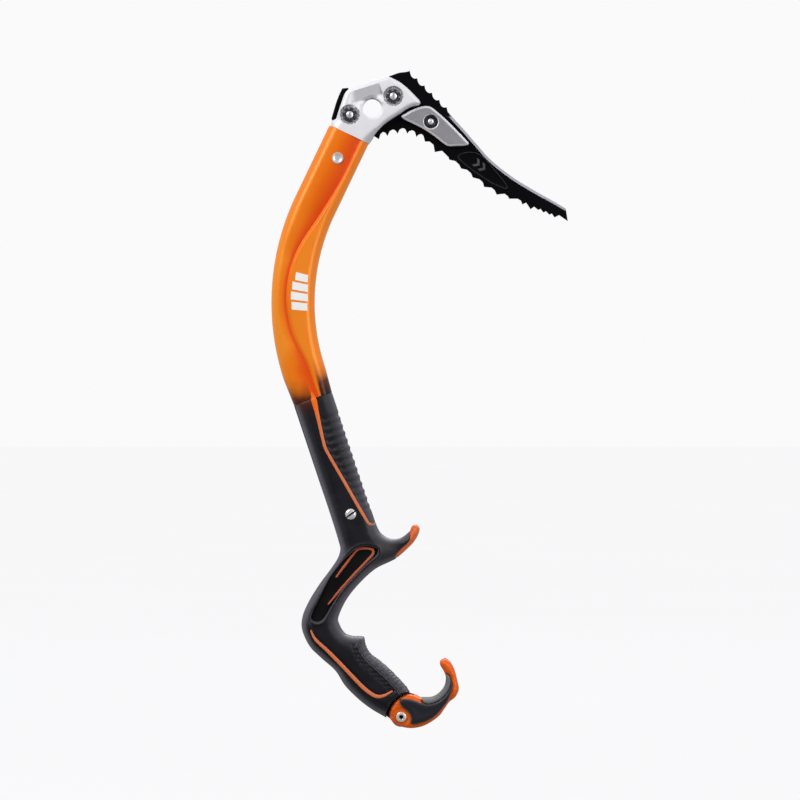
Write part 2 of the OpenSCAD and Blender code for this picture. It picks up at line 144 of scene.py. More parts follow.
def run_along(line):
    """Length of a line from its start to each of its points."""
    return np.r_[0, np.cumsum(np.linalg.norm(np.diff(line, axis=0), axis=1))]


def resample(line, step):
    line = np.array(line, float)
    run = run_along(line)
    at = np.linspace(0, run[-1], max(2, int(round(run[-1] / step)) + 1))
    return np.column_stack([np.interp(at, run, axis) for axis in line.T])


def smooth(points, step=0.8, loop=False):
    """A Catmull-Rom line through given points, sampled about every step."""
    p = np.array(points, float)
    n = len(p)
    t = np.linspace(0, 1, 16, endpoint=False)[:, None]
    spans = []
    for i in range(n if loop else n - 1):
        a, b, c, d = (p[(i + k) % n if loop else min(max(i + k, 0), n - 1)] for k in (-1, 0, 1, 2))
        spans.append(0.5 * (2 * b + (c - a) * t + (2 * a - 5 * b + 4 * c - d) * t**2
                            + (3 * b - a - 3 * c + d) * t**3))
    spans.append(p[:1] if loop else p[-1:])
    line = resample(np.vstack(spans), step)
    return line[:-1] if loop else line


def chain(*lines):
    """Joins lines end to end, dropping doubled points, and closes the loop."""
    out = [np.array(lines[0], float)]
    for line in lines[1:]:
        line = np.array(line, float)
        near = np.linalg.norm(line[0] - out[-1][-1]) < 1e-4
        if len(line) > near:
            out.append(line[1:] if near else line)
    whole = np.vstack(out)
    closed = np.linalg.norm(whole[0] - whole[-1]) < 1e-4
    return whole[:-1] if closed else whole


def straight(points, step=0.9):
    """Straight runs between points, each sampled on its own, so corners stay sharp."""
    p = np.array(points, float)
    runs = [resample(p[i : i + 2], step) for i in range(len(p) - 1)]
    return np.vstack([runs[0], *[r[1:] for r in runs[1:]]])


def arc(at, r, a):
    return np.column_stack([at[0] + r * np.cos(a), at[1] + r * np.sin(a)])


def circle(at, r, step):
    n = max(16, int(2 * math.pi * r / step))
    return arc(at, r, np.arange(n) * 2 * math.pi / n)


def signed_area(loop):
    x, z = loop[:, 0], loop[:, 1]
    return 0.5 * np.sum(x * np.roll(z, -1) - np.roll(x, -1) * z)


def ccw(loop):
    return loop if signed_area(loop) > 0 else loop[::-1]


def closed(points, step):
    """A smooth closed line, counter-clockwise."""
    return ccw(smooth(points, step, True))


def away(p, line, loop=False):
    """Distance of each point from a line."""
    a = line if loop else line[:-1]
    d = (np.roll(line, -1, axis=0) if loop else line[1:]) - a
    length2 = np.maximum((d**2).sum(1), 1e-12)
    best = np.empty(len(p))
    for start in range(0, len(p), 1500):
        q = p[start : start + 1500, None, :] - a[None]
        t = np.clip((q * d).sum(2) / length2, 0, 1)
        gap = q - t[..., None] * d
        best[start : start + 1500] = np.sqrt((gap**2).sum(2).min(1))
    return best


def gap_to(p, at):
    """Distance of each point from one place."""
    return np.hypot(p[:, 0] - at[0], p[:, 1] - at[1])


def nearest(line, at):
    return int(np.argmin(gap_to(line, at)))


def inside(p, loop):
    hit = np.zeros(len(p), bool)
    for (x0, z0), (x1, z1) in zip(loop, np.roll(loop, -1, axis=0)):
        if z0 == z1:
            continue
        crosses = (z0 > p[:, 1]) != (z1 > p[:, 1])
        hit ^= crosses & (p[:, 0] < x0 + (p[:, 1] - z0) * (x1 - x0) / (z1 - z0))
    return hit


def depth_in(p, loop):
    """Distance from a closed line, positive inside it."""
    return away(p, loop, True) * np.where(inside(p, loop), 1, -1)


def inward(loop):
    """Directions into a counter-clockwise line, not of unit length."""
    ahead = np.roll(loop, -1, axis=0) - np.roll(loop, 1, axis=0)
    return np.column_stack([-ahead[:, 1], ahead[:, 0]])


def inset(loop, gap):
    """A closed line moved inwards by a small gap, or outwards by a negative one."""
    turn = inward(ccw(loop))
    return ccw(loop) + turn * (gap / np.linalg.norm(turn, axis=1))[:, None]


def step_up(x, low, high):
    t = np.clip((x - low) / (high - low), 0, 1)
    return t * t * (3 - 2 * t)


def bulge(d, r):
    """0 at an edge, 1 from r inwards, round between."""
    return np.sqrt(np.clip(1 - (1 - np.clip(d / r, 0, 1)) ** 2, 0, 1))


# ---- meshes ------------------------------------------------------------


def solid(name, points, faces):
    """A mesh object from points in millimetres, with its faces turned outwards."""
    mesh = bpy.data.meshes.new(name)
    mesh.from_pydata((np.array(points) * MM).tolist(), [], faces)
    work = bmesh.new()
    work.from_mesh(mesh)
    bmesh.ops.recalc_face_normals(work, faces=work.faces)
    work.to_mesh(mesh)
    work.free()
    return show(name, mesh)


def soften(piece, sharp):
    piece.data.polygons.foreach_set("use_smooth", [True] * len(piece.data.polygons))
    piece.data.set_sharp_from_angle(angle=math.radians(sharp))


def make_piece(name, points, faces, material, body="tool", sharp=35, slot=None, extra=False):
    """A visible piece. It replaces the CAD node that all but the last word of its name
    says, unless it is extra."""
    piece = solid(name, points, faces)
    soften(piece, sharp)
    piece.data.materials.append(material)
    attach(piece, body)
    if not extra:
        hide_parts(name.rsplit("_", 1)[0])
    return piece


def region(outer, rings=(), spacing=1.0, holes=(), lines=()):
    """Triangles that fill an outline, with extra rows of points along its edges and lines."""
    walls = [ccw(outer), *[ccw(h) for h in holes]]
    points, edges, base = [], [], 0
    for line, loop in [(w, True) for w in walls] + list(lines):
        points.append(line)
        n = len(line)
        edges += [(base + i, base + (i + 1) % n) for i in range(n if loop else n - 1)]
        base += n

    def filled(q):
        keep = inside(q, walls[0])
        for hole in walls[1:]:
            keep &= ~inside(q, hole)
        return keep

    def keep_clear(q, gap, line_gap):
        q = q[filled(q)]
        ok = np.ones(len(q), bool)
        for wall in walls:
            ok &= away(q, wall, True) > gap
        for line, loop in lines:
            ok &= away(q, line, loop) > line_gap
        return q[ok]

    for k, wall in enumerate(walls):
        turn = inward(wall) * (1 if k == 0 else -1)
        turn /= np.maximum(np.linalg.norm(turn, axis=1), 1e-9)[:, None]
        points += [keep_clear(wall + turn * d, d * 0.97, 0.3) for d in rings]
    low, high = outer.min(0), outer.max(0)
    gx, gz = np.meshgrid(np.arange(low[0], high[0], spacing), np.arange(low[1], high[1], spacing * 0.866))
    gx[1::2] += spacing / 2
    grid = np.column_stack([gx.ravel(), gz.ravel()])
    points.append(keep_clear(grid, (max(rings) if rings else 0) + spacing * 0.45, spacing * 0.4))
    out = delaunay_2d_cdt([Vector(q) for q in np.vstack(points)], edges, [], 0, 1e-5)
    verts = np.array([tuple(v) for v in out[0]])
    tris = np.array([tuple(f) for f in out[2]])
    tris = tris[filled(verts[tris].mean(1))]
    a, b, c = (verts[tris[:, k]] for k in range(3))
    area = (b[:, 0] - a[:, 0]) * (c[:, 1] - a[:, 1]) - (b[:, 1] - a[:, 1]) * (c[:, 0] - a[:, 0])
    tris[area < 0] = tris[area < 0][:, ::-1]
    return used_only(verts, tris)


def used_only(verts, tris):
    used, index = np.unique(tris, return_inverse=True)
    return verts[used], index.reshape(-1, 3)


def relax(tris, h, rounds=6):
    """Smooths heights over a triangle net, leaving its rim as it is."""
    e = np.vstack([tris[:, [0, 1]], tris[:, [1, 2]], tris[:, [2, 0]]])
    e = np.vstack([e, e[:, ::-1]])
    keys = e[:, 0].astype(np.int64) * len(h) + e[:, 1]
    _, first, count = np.unique(keys, return_index=True, return_counts=True)
    rim = np.unique(e[first[count == 1]])
    e = e[first]
    degree = np.bincount(e[:, 0], minlength=len(h))
    h = h.copy()
    for _ in range(rounds):
        mean = np.bincount(e[:, 0], weights=h[e[:, 1]], minlength=len(h)) / np.maximum(degree, 1)
        mean[rim] = h[rim]
        h = 0.5 * h + 0.5 * mean
    return h


def at_height(flat, y):
    """Points (x, y, z) from points of the side plane and their heights."""
    return np.column_stack([flat[:, 0], np.broadcast_to(y, len(flat)), flat[:, 1]])


def thicken(verts, tris, near, far, rows=1):
    """A closed solid between two height fields over one net of triangles."""
    n, tris = len(verts), tris.tolist()
    near, far = np.broadcast_to(near, n), np.broadcast_to(far, n)
    directed = {(t[k], t[(k + 1) % 3]) for t in tris for k in range(3)}
    rim = sorted((a, b) for a, b in directed if (b, a) not in directed)
    faces = [tuple(t) for t in tris] + [tuple(i + n for i in t[::-1]) for t in tris]
    ids = sorted({a for a, _ in rim})
    points, levels = [at_height(verts, near), at_height(verts, far)], [ids]
    for row in range(1, rows):
        s = row / rows
        points.append(at_height(verts[ids], near[ids] * (1 - s) + far[ids] * s))
        base = 2 * n + (row - 1) * len(ids)
        levels.append(range(base, base + len(ids)))
    levels.append([i + n for i in ids])
    place = {i: k for k, i in enumerate(ids)}
    for a, b in rim:
        a, b = place[a], place[b]
        faces += [(one[a], two[a], two[b], one[b]) for one, two in zip(levels[:-1], levels[1:])]
    return np.vstack(points), faces


def one_side(side, verts, tris, inner, outer, rows=1):
    """A solid on one side of the tool, from an inner height out to an outer one."""
    near, far = (-outer, -inner) if side == RIGHT else (inner, outer)
    return thicken(verts, tris, near, far, rows)


def push(points, faces, amount):
    """Moves each point along its normal by its amount."""
    mesh = bpy.data.meshes.new("scratch")
    mesh.from_pydata(points.tolist(), [], faces)
    normal = np.zeros(len(points) * 3, np.float32)
    mesh.vertices.foreach_get("normal", normal)
    bpy.data.meshes.remove(mesh)
    return points + normal.reshape(-1, 3) * amount[:, None]


def tube_faces(rows, sides, ring=False):
    """Quads between rows of points that each run once around. The last row joins the
    first in a ring; otherwise flat ends close the tube."""
    faces = []
    for i in range(rows if ring else rows - 1):
        m = (i + 1) % rows
        for j in range(sides):
            k = (j + 1) % sides
            faces.append((i * sides + j, i * sides + k, m * sides + k, m * sides + j))
    if not ring:
        faces.append(tuple(range(sides))[::-1])
        faces.append(tuple((rows - 1) * sides + j for j in range(sides)))
    return faces


def lathe(at, profile, sides=96, ring=False):
    """Points and faces of a solid of revolution about the Y axis through at, from
    (radius, y, shape) rows."""
    a = np.arange(sides) * 2 * math.pi / sides
    points = [at_height(arc(at, shape[0](r, a) if shape else r, a), y) for r, y, *shape in profile]
    return np.vstack(points), tube_faces(len(profile), sides, ring)


def turned(name, at, profile, material, sides=96, ring=False, **kw):
    return make_piece(name, *lathe(at, profile, sides, ring), material, **kw)


def joined(name, parts, material, **kw):
    """One piece out of several closed solids, each given as points and faces."""
    points, faces, base = [], [], 0
    for part_points, part_faces in parts:
        points.append(part_points)
        faces += [tuple(base + i for i in face) for face in part_faces]
        base += len(part_points)
    return make_piece(name, np.vstack(points), faces, material, **kw)


def prism(outline, y0, y1):
    """A plain block between y0 and y1, used as a cutter."""
    points = [(x, y, z) for y in (y0, y1) for x, z in outline]
    return solid("cutter", points, tube_faces(2, len(outline)))


def cut(piece, *cutters, sharp=35):
    for cutter in cutters:
        mod = piece.modifiers.new("cut", "BOOLEAN")
        mod.operation = "DIFFERENCE"
        mod.solver = "EXACT"
        mod.object = cutter
        graph = bpy.context.evaluated_depsgraph_get()
        mesh = bpy.data.meshes.new_from_object(piece.evaluated_get(graph))
        piece.modifiers.clear()
        old, piece.data = piece.data, mesh
        bpy.data.meshes.remove(old)
        bpy.data.objects.remove(cutter)
    soften(piece, sharp)
    return piece


def bead(name, path, level, wide, tall, material):
    """A raised strip with rounded ends along a line of the side plane, at some level."""
    path, sides = at_height(path, level), 14
    ahead = np.gradient(path, axis=0)
    ahead /= np.linalg.norm(ahead, axis=1)[:, None]
    across = np.cross(ahead, [0.0, 1.0, 0.0])
    across /= np.linalg.norm(across, axis=1)[:, None]
    over = np.cross(across, ahead)
    a = np.arange(sides) * 2 * math.pi / sides
    ca, sa = (np.sign(v) * np.abs(v) ** 0.75 for v in (np.cos(a), np.sin(a)))
    run = run_along(path)
    close = bulge(np.minimum(run, run[-1] - run) + 0.08, np.maximum(wide, 0.4))
    wide, tall = wide * close, tall * (0.5 + 0.5 * close)
    rows = (path[:, None] + across[:, None] * (ca * wide[:, None])[..., None]
            + over[:, None] * (sa * tall[:, None])[..., None])
    return make_piece(name, rows.reshape(-1, 3), tube_faces(len(path), sides), material, sharp=60)


# ---- the line of the shaft ---------------------------------------------

BEND_R = 171.0
BEND_CENTRE = np.array([-60.2 + BEND_R, -147.5])
HEAD_TILT, GRIP_TILT = math.radians(25.6), math.radians(18.4)
UPPER_RUN, LOWER_RUN, TAPER_RUN = 59.4, 127.0, 20.0
ARC_END = UPPER_RUN + BEND_R * (HEAD_TILT + GRIP_TILT)
SHAFT_END = ARC_END + LOWER_RUN


def on_axis(s):
    """Middle of the shaft at run s from its top, and the direction to its front."""
    s = np.asarray(s, float)
    turn = math.pi - HEAD_TILT + (np.clip(s, UPPER_RUN, ARC_END) - UPPER_RUN) / BEND_R
    out = np.column_stack([np.cos(turn), np.sin(turn)])
    down = np.column_stack([-np.sin(turn), np.cos(turn)])
    spare = s - np.clip(s, UPPER_RUN, ARC_END)
    return BEND_CENTRE + BEND_R * out + down * spare[:, None], -out


def shaft_point(s, u):
    middle, fore = on_axis(np.atleast_1d(s))
    return middle + fore * np.atleast_1d(u)[:, None]


# The crease in the shaft's sides: how far down, and its offset from the middle line
CREASE = smooth([[30, 9.9], [52, 9.7], [80, 6.2], [97, 1.7], [112, -2.3], [130, -4.7],
                 [150, -4.8], [172, -1.8], [192, 3.4], [208, 4.5], [222, 4.8]], 2)
CREASE_SPAN = (0.080, 0.240)
STEP_WIDTH = 2.2
HALF_DEPTH, HALF_WIDTH, CORNER_R = 16.4, 10.3, 8


def crease_at(s):
    return np.interp(-on_axis(s)[0][:, 1], *CREASE.T)


def shaft_size(s):
    """Half depth and half width of the shaft at run s."""
    t = np.clip((s - ARC_END) / TAPER_RUN, 0, 1)
    return HALF_DEPTH - 1.2 * t, HALF_WIDTH + 0.6 * t


def shaft_face(s, u):
    """Half width of the shaft's skin at run s and offset u, with its crease."""
    a, b = shaft_size(s)
    beyond = np.clip(np.abs(u) - (a - CORNER_R), 0, CORNER_R)
    y = b - CORNER_R + np.sqrt(np.clip(CORNER_R**2 - beyond**2, 0, None))
    c = crease_at(s)
    z = -on_axis(s)[0][:, 1]
    width = 13.5 - 4.5 * step_up(z, 90, 190)
    dip = 1.7 - 0.5 * step_up(z, 100, 150) - 0.8 * step_up(z, 196, 221)
    fall = np.clip((u - (c - width)) / width, 0, 1) ** 1.6
    rise = 1 - step_up(u, c, c + STEP_WIDTH)
    return y - dip * fall * rise * (1 - step_up(np.abs(u), a - 3.5, a))


# ---- materials ---------------------------------------------------------


def rgb(r, g, b):
    """Linear colour from an 8-bit display colour."""
    def lin(v):
        v /= 255
        return v / 12.92 if v <= 0.04045 else ((v + 0.055) / 1.055) ** 2.4
    return (lin(r), lin(g), lin(b), 1)


# Where a Mix node keeps its colour sockets
MIX_FROM, MIX_TO, MIX_OUT = 6, 7, 2


class Look:
    """A procedural material: a Principled shader with helpers that add noise to it."""

    def __init__(self, name, rough, metal=0.0, **sockets):
        self.material = bpy.data.materials.new(name)
        self.material.use_nodes = True
        self.tree = self.material.node_tree
        self.tree.nodes.clear()
        self.shader = self.add("ShaderNodeBsdfPrincipled", Roughness=rough, Metallic=metal, **sockets)
        self.feed(self.add("ShaderNodeOutputMaterial").inputs[0], self.shader.outputs[0])
        place = self.add("ShaderNodeTexCoord")
        self.where, self.facing = place.outputs["Object"], place.outputs["Normal"]
        self.normal = None

    def feed(self, socket, value):
        """Links an output to a socket, or sets the socket to a number."""
        if hasattr(value, "links"):
            self.tree.links.new(value, socket)
        else:
            socket.default_value = value

    def add(self, kind, **sockets):
        node = self.tree.nodes.new(kind)
        for key, value in sockets.items():
            self.feed(node.inputs[key.replace("_", " ")], value)
        return node

    def math(self, kind, a, b=0.5, clamp=False):
        node = self.add("ShaderNodeMath")
        node.operation, node.use_clamp = kind, clamp
        self.feed(node.inputs[0], a)
        self.feed(node.inputs[1], b)
        return node.outputs[0]

    def axis(self, name, source=None):
        return self.add("ShaderNodeSeparateXYZ", Vector=source or self.where).outputs[name]

    def stretch(self, scale, turn):
        return self.add("ShaderNodeMapping", Scale=scale, Rotation=turn, Vector=self.where).outputs[0]

    def noise(self, scale, detail=4.0, rough=0.55, where=None):
        return self.add("ShaderNodeTexNoise", Scale=scale, Detail=detail, Roughness=rough,
                        Vector=where or self.where).outputs["Fac"]

    def remap(self, value, low, high, to_low=0.0, to_high=1.0, smooth=False):
        node = self.add("ShaderNodeMapRange", From_Min=low, From_Max=high, To_Min=to_low, To_Max=to_high)
        if smooth:
            node.interpolation_type = "SMOOTHSTEP"
        self.feed(node.inputs["Value"], value)
        return node.outputs["Result"]

    def blend(self, factor, a, b):
        node = self.add("ShaderNodeMix")
        node.data_type = "RGBA"
        for place, value in ((0, factor), (MIX_FROM, a), (MIX_TO, b)):
            self.feed(node.inputs[place], value)
        return node.outputs[MIX_OUT]

    def clouded(self, cloud, share, fine, marks, base, bright):
        """A colour between base and bright, by clouds, fine grain and marks."""
        amount = self.math("ADD", self.math("MULTIPLY", cloud, share), self.math("MULTIPLY", fine, 0.25))
        return self.blend(self.math("ADD", amount, marks, clamp=True), base, bright)

    def set(self, socket, value):
        self.feed(self.shader.inputs[socket], value)

    def bump(self, height, distance, strength):
        node = self.add("ShaderNodeBump", Strength=strength, Distance=distance, Height=height)
        if self.normal:
            self.feed(node.inputs["Normal"], self.normal)
        self.normal = node.outputs["Normal"]
        self.set("Normal", self.normal)


def sprayed(look, lacquer, black):
    """Orange that is sprayed out to black above the handle, last along the crease."""
    z = look.axis("Z")
    start, end = shaft_point([ARC_END - 8, ARC_END + 22], [3.2, 3.4]) * MM
    lean = (end[0] - start[0]) / (end[1] - start[1])
    line = look.math("ADD", look.math("MULTIPLY", look.math("SUBTRACT", z, start[1]), lean), start[0])
    beside = look.math("SUBTRACT", look.axis("X"), line)
    haze = look.math("MULTIPLY", look.math("SUBTRACT", look.noise(70, 4), 0.5), 0.014)
    tongue = look.remap(look.math("ABSOLUTE", beside), 0.0012, 0.0048, 0.022, 0.0, smooth=True)
    front = look.remap(beside, 0.002, 0.006, 0.0, -0.013, smooth=True)
    level = look.math("ADD", look.math("ADD", z, haze), look.math("ADD", tongue, front))
    dark = look.remap(level, -0.203, -0.235, smooth=True)
    burnt = look.blend(look.remap(dark, 0.0, 0.55), lacquer, rgb(104, 46, 16))
    return look.blend(look.remap(dark, 0.42, 1.0), burnt, black)


def moulded(name, base, bright, rough, grain=2200, bump=0.00006, wear=0.12, shine=0.5, fade=False,
            edge_highlight=None, upper=None):
    """Moulded plastic or rubber: a fine spark-eroded grain and faint cloudy variation. Rounded
    edges can take a lighter grey as a painted highlight, and the top of a trim can take another colour."""
    look = Look(name, rough, Specular_IOR_Level=shine)
    cloud, fine = look.noise(38, 5), look.noise(grain, 3, 0.7)
    scuff = look.remap(look.noise(240, 6, 0.75), 0.62, 0.78, 0, wear)
    tone = look.clouded(cloud, 0.55, fine, scuff, base, bright)
    # Painted highlight: rounded edges, whose normals turn away from the sides, take a lighter grey
    if edge_highlight:
        tilt = look.math("ABSOLUTE", look.axis("Y", look.facing))
        share = look.math("MULTIPLY", look.remap(tilt, 0.985, 0.6), look.remap(tilt, 0.0, 0.35, 0.4, 1.0))
        tone = look.blend(share, tone, edge_highlight)
    if upper:
        tone = look.blend(look.remap(look.axis("Z"), -0.246, -0.226), tone, upper)
    if fade:
        tone = sprayed(look, rgb(224, 100, 14), tone)
    look.set("Base Color", tone)
    look.set("Roughness", look.remap(cloud, 0.3, 0.7, rough - 0.07, rough + 0.08))
    look.bump(fine, bump, 0.5)
    look.bump(look.noise(420, 3), bump * 1.2, 0.3)
    return look.material


def metal(name, base, bright, rough, metallic=1.0, grain=1600, bump=0.00003, brushed=None, scratch=0.2,
          facing_light_and_bevel=None, beyond=None, shine=0.5):
    """Metal with a fine grain and faint scratches. Brushed draws lines into it instead of the
    grain. The facing colour gives faces another colour, found by one component of the surface
    normal: painted shade on downward faces, painted highlights on bevels, and on the pick's bevel
    also its ground bare steel. Beyond keeps that to places further forward."""
    look = Look(name, rough, metallic, Specular_IOR_Level=shine)
    cloud = look.noise(55, 6, 0.6)
    fine = look.noise(900, 4, 0.6, look.stretch(*brushed)) if brushed else look.noise(grain, 4, 0.65)
    scar = look.remap(look.noise(150, 8, 0.8, look.stretch((1, 1, 6), (0, 0.6, 0))), 0.6, 0.72, 0, scratch)
    tone = look.clouded(cloud, 0.6, fine, scar, base, bright)
    # Painted light: faces picked by one component of their normal take another colour
    if facing_light_and_bevel:
        axis, low, high, facing_colour = facing_light_and_bevel
        tilt = look.axis(axis, look.facing)
        if axis == "Y":
            tilt = look.math("ABSOLUTE", tilt)
        share = look.remap(tilt, low, high, smooth=True)
        if beyond:
            share = look.math("MULTIPLY", share, look.remap(look.axis("X"), beyond, beyond + 0.004))
        tone = look.blend(share, tone, facing_colour)
    look.set("Base Color", tone)
    look.set("Roughness", look.remap(fine, 0.25, 0.75, rough - 0.08, rough + 0.1))
    look.bump(fine, bump, 0.5)
    return look.material


# Painted shade: the head's faces that turn downward take a darker grey
forged = metal("forged_alloy", rgb(226, 224, 230), rgb(248, 247, 250), 0.42, 0.12, 2600, 0.00004,
               facing_light_and_bevel=("Z", -0.06, -0.38, rgb(206, 205, 211)))
# The pick's upper back bevel and tooth tips, picked by their upward faces: ground bare steel, lightened
# further as a painted highlight
black_steel = metal("pick_steel", rgb(1, 1, 3), rgb(9, 9, 13), 0.42, 0.0, 1500, 0.00005, scratch=0.3,
                    shine=0.07, facing_light_and_bevel=("Z", 0.2, 0.34, rgb(168, 168, 176)), beyond=0.056)
# Painted highlight: the bevels around each weight take a near-white grey
grey_steel = metal("weight_steel", rgb(158, 158, 164), rgb(192, 192, 198), 0.36, 0.6, 1800, 0.00003,
                   brushed=((1, 1, 14), (0, 0.75, 0)), facing_light_and_bevel=("Y", 0.95, 0.86, rgb(238, 238, 244)))
recess_ring_steel = metal("recess_ring_steel", rgb(34, 34, 38), rgb(58, 58, 64), 0.45, 0.2, 1200, 0.00003)
etched = metal("etched_steel", rgb(52, 52, 57), rgb(88, 88, 94), 0.5, 0.3, 900, 0.00006, scratch=0.3)
bright = metal("bright_steel", rgb(215, 215, 218), rgb(248, 248, 250), 0.28, 0.45, 2400, 0.00002)
dark_metal = metal("dark_steel", rgb(30, 30, 35), rgb(70, 70, 78), 0.34, 0.8, 2000, 0.00003)
nut_metal = metal("nut_steel", rgb(58, 58, 64), rgb(98, 98, 106), 0.34, 0.7, 2000, 0.00003)
washer_metal = metal("washer_steel", rgb(165, 165, 170), rgb(205, 205, 210), 0.4, 0.6, 2000, 0.00003)
rest_metal = metal("rest_alloy", rgb(228, 88, 14), rgb(244, 116, 34), 0.4, 0.15, 2200, 0.00003, scratch=0.05,
                   shine=0.3)
bush = metal("white_bush", rgb(225, 215, 205), rgb(250, 246, 240), 0.3, 0.4, 2000, 0.00002)
# The lighter greys given for rounded edges below are painted highlights
shell_black = moulded("handle_shell", rgb(5, 4, 12), rgb(20, 17, 29), 0.46, shine=0.34, fade=True,
                      edge_highlight=rgb(88, 86, 95))
pad_black = moulded("rest_pad", rgb(18, 18, 25), rgb(36, 36, 44), 0.5, shine=0.38, edge_highlight=rgb(82, 80, 88))
pocket_black = moulded("pocket_insert", rgb(8, 6, 8), rgb(17, 14, 17), 0.5, shine=0.14)
rubber = moulded("grip_rubber", rgb(5, 5, 12), rgb(22, 21, 31), 0.5, 1500, 0.00009, shine=0.36,
                 edge_highlight=rgb(76, 75, 86))
core_black = moulded("nylon_core", rgb(12, 12, 15), rgb(28, 28, 33), 0.55)
orange = moulded("orange_plastic", rgb(226, 102, 42), rgb(236, 122, 62), 0.5, bump=0.00003, wear=0.02,
                 shine=0.3)
# Painted shade: a darker orange than the other trims, for the loops that lie in the pockets
shaded_loop_orange = moulded("loop_plastic", rgb(176, 82, 50), rgb(198, 108, 76), 0.5, wear=0.03, shine=0.3)
trim_orange = moulded("trim_plastic", rgb(214, 110, 66), rgb(232, 138, 92), 0.5, wear=0.03, shine=0.3,
                      upper=rgb(246, 112, 14))
liner_grey = moulded("liner_rubber", rgb(100, 100, 104), rgb(132, 132, 136), 0.68, 1500, 0.00009, shine=0.3)
white_paint = moulded("white_paint", rgb(246, 244, 242), rgb(254, 253, 252), 0.45, wear=0.02)


def sweep_shaft():
    base = ARC_END + TAPER_RUN
    quarter = np.linspace(0, math.pi / 2, 26)
    corner = np.sin(np.linspace(0, math.pi / 2, 16))
    rows = []
    for s in (0.0, 0.18, 0.5, 1.0, *np.linspace(2, base, 190)):
        a, _ = shaft_size(s)
        c = float(crease_at([s])[0])
        left = -a + (1 - corner[::-1]) * CORNER_R
        middle = np.linspace(-(a - CORNER_R), c, 26)
        step = np.linspace(c, c + STEP_WIDTH, 7)
        right = c + STEP_WIDTH + (a - c - STEP_WIDTH) * np.sin(quarter)
        u = np.r_[left, middle[1:], step[1:], right[1:]]
        y = shaft_face(np.full(len(u), s), u)
        shrink = 0.5 - math.sqrt(max(0.0, 0.25 - (0.5 - min(s, 0.5)) ** 2))
        p = shaft_point(np.full(len(u), s), u * (a - shrink) / a)
        near = at_height(p, shrink - y)
        rows.append(np.vstack([near, near[::-1] * [1, -1, 1]]))
    last = rows[-1]
    middle, fore = on_axis([base])
    along = (last[:, [0, 2]] - middle[0]) @ fore[0] * (13.7 / shaft_size(base)[0])
    for s in (base + 0.3, SHAFT_END):
        rows.append(at_height(np.outer(along, fore[0]) + on_axis([s])[0][0], last[:, 1] * 9.5 / 10.9))
    make_piece("shaft_tube", np.vstack(rows), tube_faces(len(rows), len(last)), shaft_paint(), sharp=50)


def shaft_paint():
    """Orange lacquer, with painted shade just left of the crease and painted highlights on the bands beside
    it, sprayed out to black at its foot.
    """
    look = Look("shaft_paint", 0.34, 0.12, Specular_IOR_Level=0.2, Coat_Weight=0.12, Coat_Roughness=0.15)
    cloud, flake = look.noise(30, 5), look.noise(3200, 2, 0.6)
    tone = look.math("ADD", look.math("MULTIPLY", cloud, 0.7), look.math("MULTIPLY", flake, 0.3))
    lacquer = look.blend(tone, rgb(244, 108, 8), rgb(254, 132, 26))
    curve = look.add("ShaderNodeFloatCurve")
    run = np.linspace(20, ARC_END + 10, 24)
    bend = shaft_point(run, crease_at(run)) * MM
    marks = curve.mapping.curves[0].points
    while len(marks) < len(bend):
        marks.new(0.5, 0.5)
    for mark, (x, z) in zip(marks, bend):
        mark.location = (-z / CREASE_SPAN[1], 1 + x / CREASE_SPAN[0])
    curve.mapping.update()
    z = look.axis("Z")
    look.feed(curve.inputs["Value"], look.math("MULTIPLY", z, -1 / CREASE_SPAN[1]))
    line = look.math("MULTIPLY", look.math("SUBTRACT", curve.outputs["Value"], 1.0), CREASE_SPAN[0])
    behind = look.math("SUBTRACT", line, look.axis("X"))
    reach = look.math("ADD", look.remap(z, -0.115, -0.06, 0.0035, 0.019),
                      look.remap(z, -0.18, -0.2, 0.0, 0.009))
    near = look.math("DIVIDE", behind, reach)
    # Painted highlight: the band left of the crease, away from it, turns lighter and yellower
    lacquer = look.blend(look.remap(near, 0.7, 2.2, 0.0, 0.9), lacquer, rgb(255, 152, 42))
    # Painted shade just left of the crease, and a painted highlight on the band right of it
    crease_shade = look.math("MULTIPLY", look.remap(near, 1.0, 0.0, smooth=True), look.remap(near, -0.08, 0.03))
    lacquer = look.blend(look.remap(behind, 0.0, -0.004, 0.0, 0.8), lacquer, rgb(255, 146, 40))
    lacquer = look.blend(look.math("MULTIPLY", crease_shade, 0.9), lacquer, rgb(228, 66, 0))
    look.set("Base Color", sprayed(look, lacquer, rgb(13, 11, 15)))
    look.set("Roughness", look.remap(cloud, 0.3, 0.7, 0.3, 0.4))
    look.bump(look.noise(500, 2), 0.00004, 0.25)
    return look.material


# Run down the shaft at which each block starts, and its two ends across the shaft
BLOCKS = ((112.6, 1.0, 10.5), (120.2, -0.8, 11.2), (127.8, -1.4, 11.4), (135.4, -0.8, 11.0))


def paint_blocks():
    """A column of blank white blocks, as a plain decoration on each side of the bend."""
    wide, tall = 16, 7
    k = (np.arange(tall - 1)[:, None] * wide + np.arange(wide - 1)).ravel()
    tris = np.vstack([np.column_stack([k, k + i, k + j]) for i, j in ((1, wide + 1), (wide + 1, wide))])
    for side, word in SIDES:
        parts = []
        for start, low, high in BLOCKS:
            u, s = np.meshgrid(np.linspace(low, high, wide), np.linspace(0, 6.0, tall))
            s, u = (start + s + u * 0.12).ravel(), u.ravel()
            y = shaft_face(s, u)
            parts.append(one_side(side, shaft_point(s, u), tris, y - 0.15, y + 0.07))
        joined(f"shaft_blocks_{word}", parts, white_paint, extra=True)


sweep_shaft()
paint_blocks()


# ---- fasteners ---------------------------------------------------------

REAR_BOLT, FRONT_BOLT, WEIGHT_BOLT = (-17, -5.5), (16, 8.5), (44.5, -10.5)
RIVET, HANDLE_BOLT, PIVOT = (-26.2, -38.3), (-16.2, -308), (22, -461.4)
SEAT, WEIGHT_SEAT = 7.9, 6.15


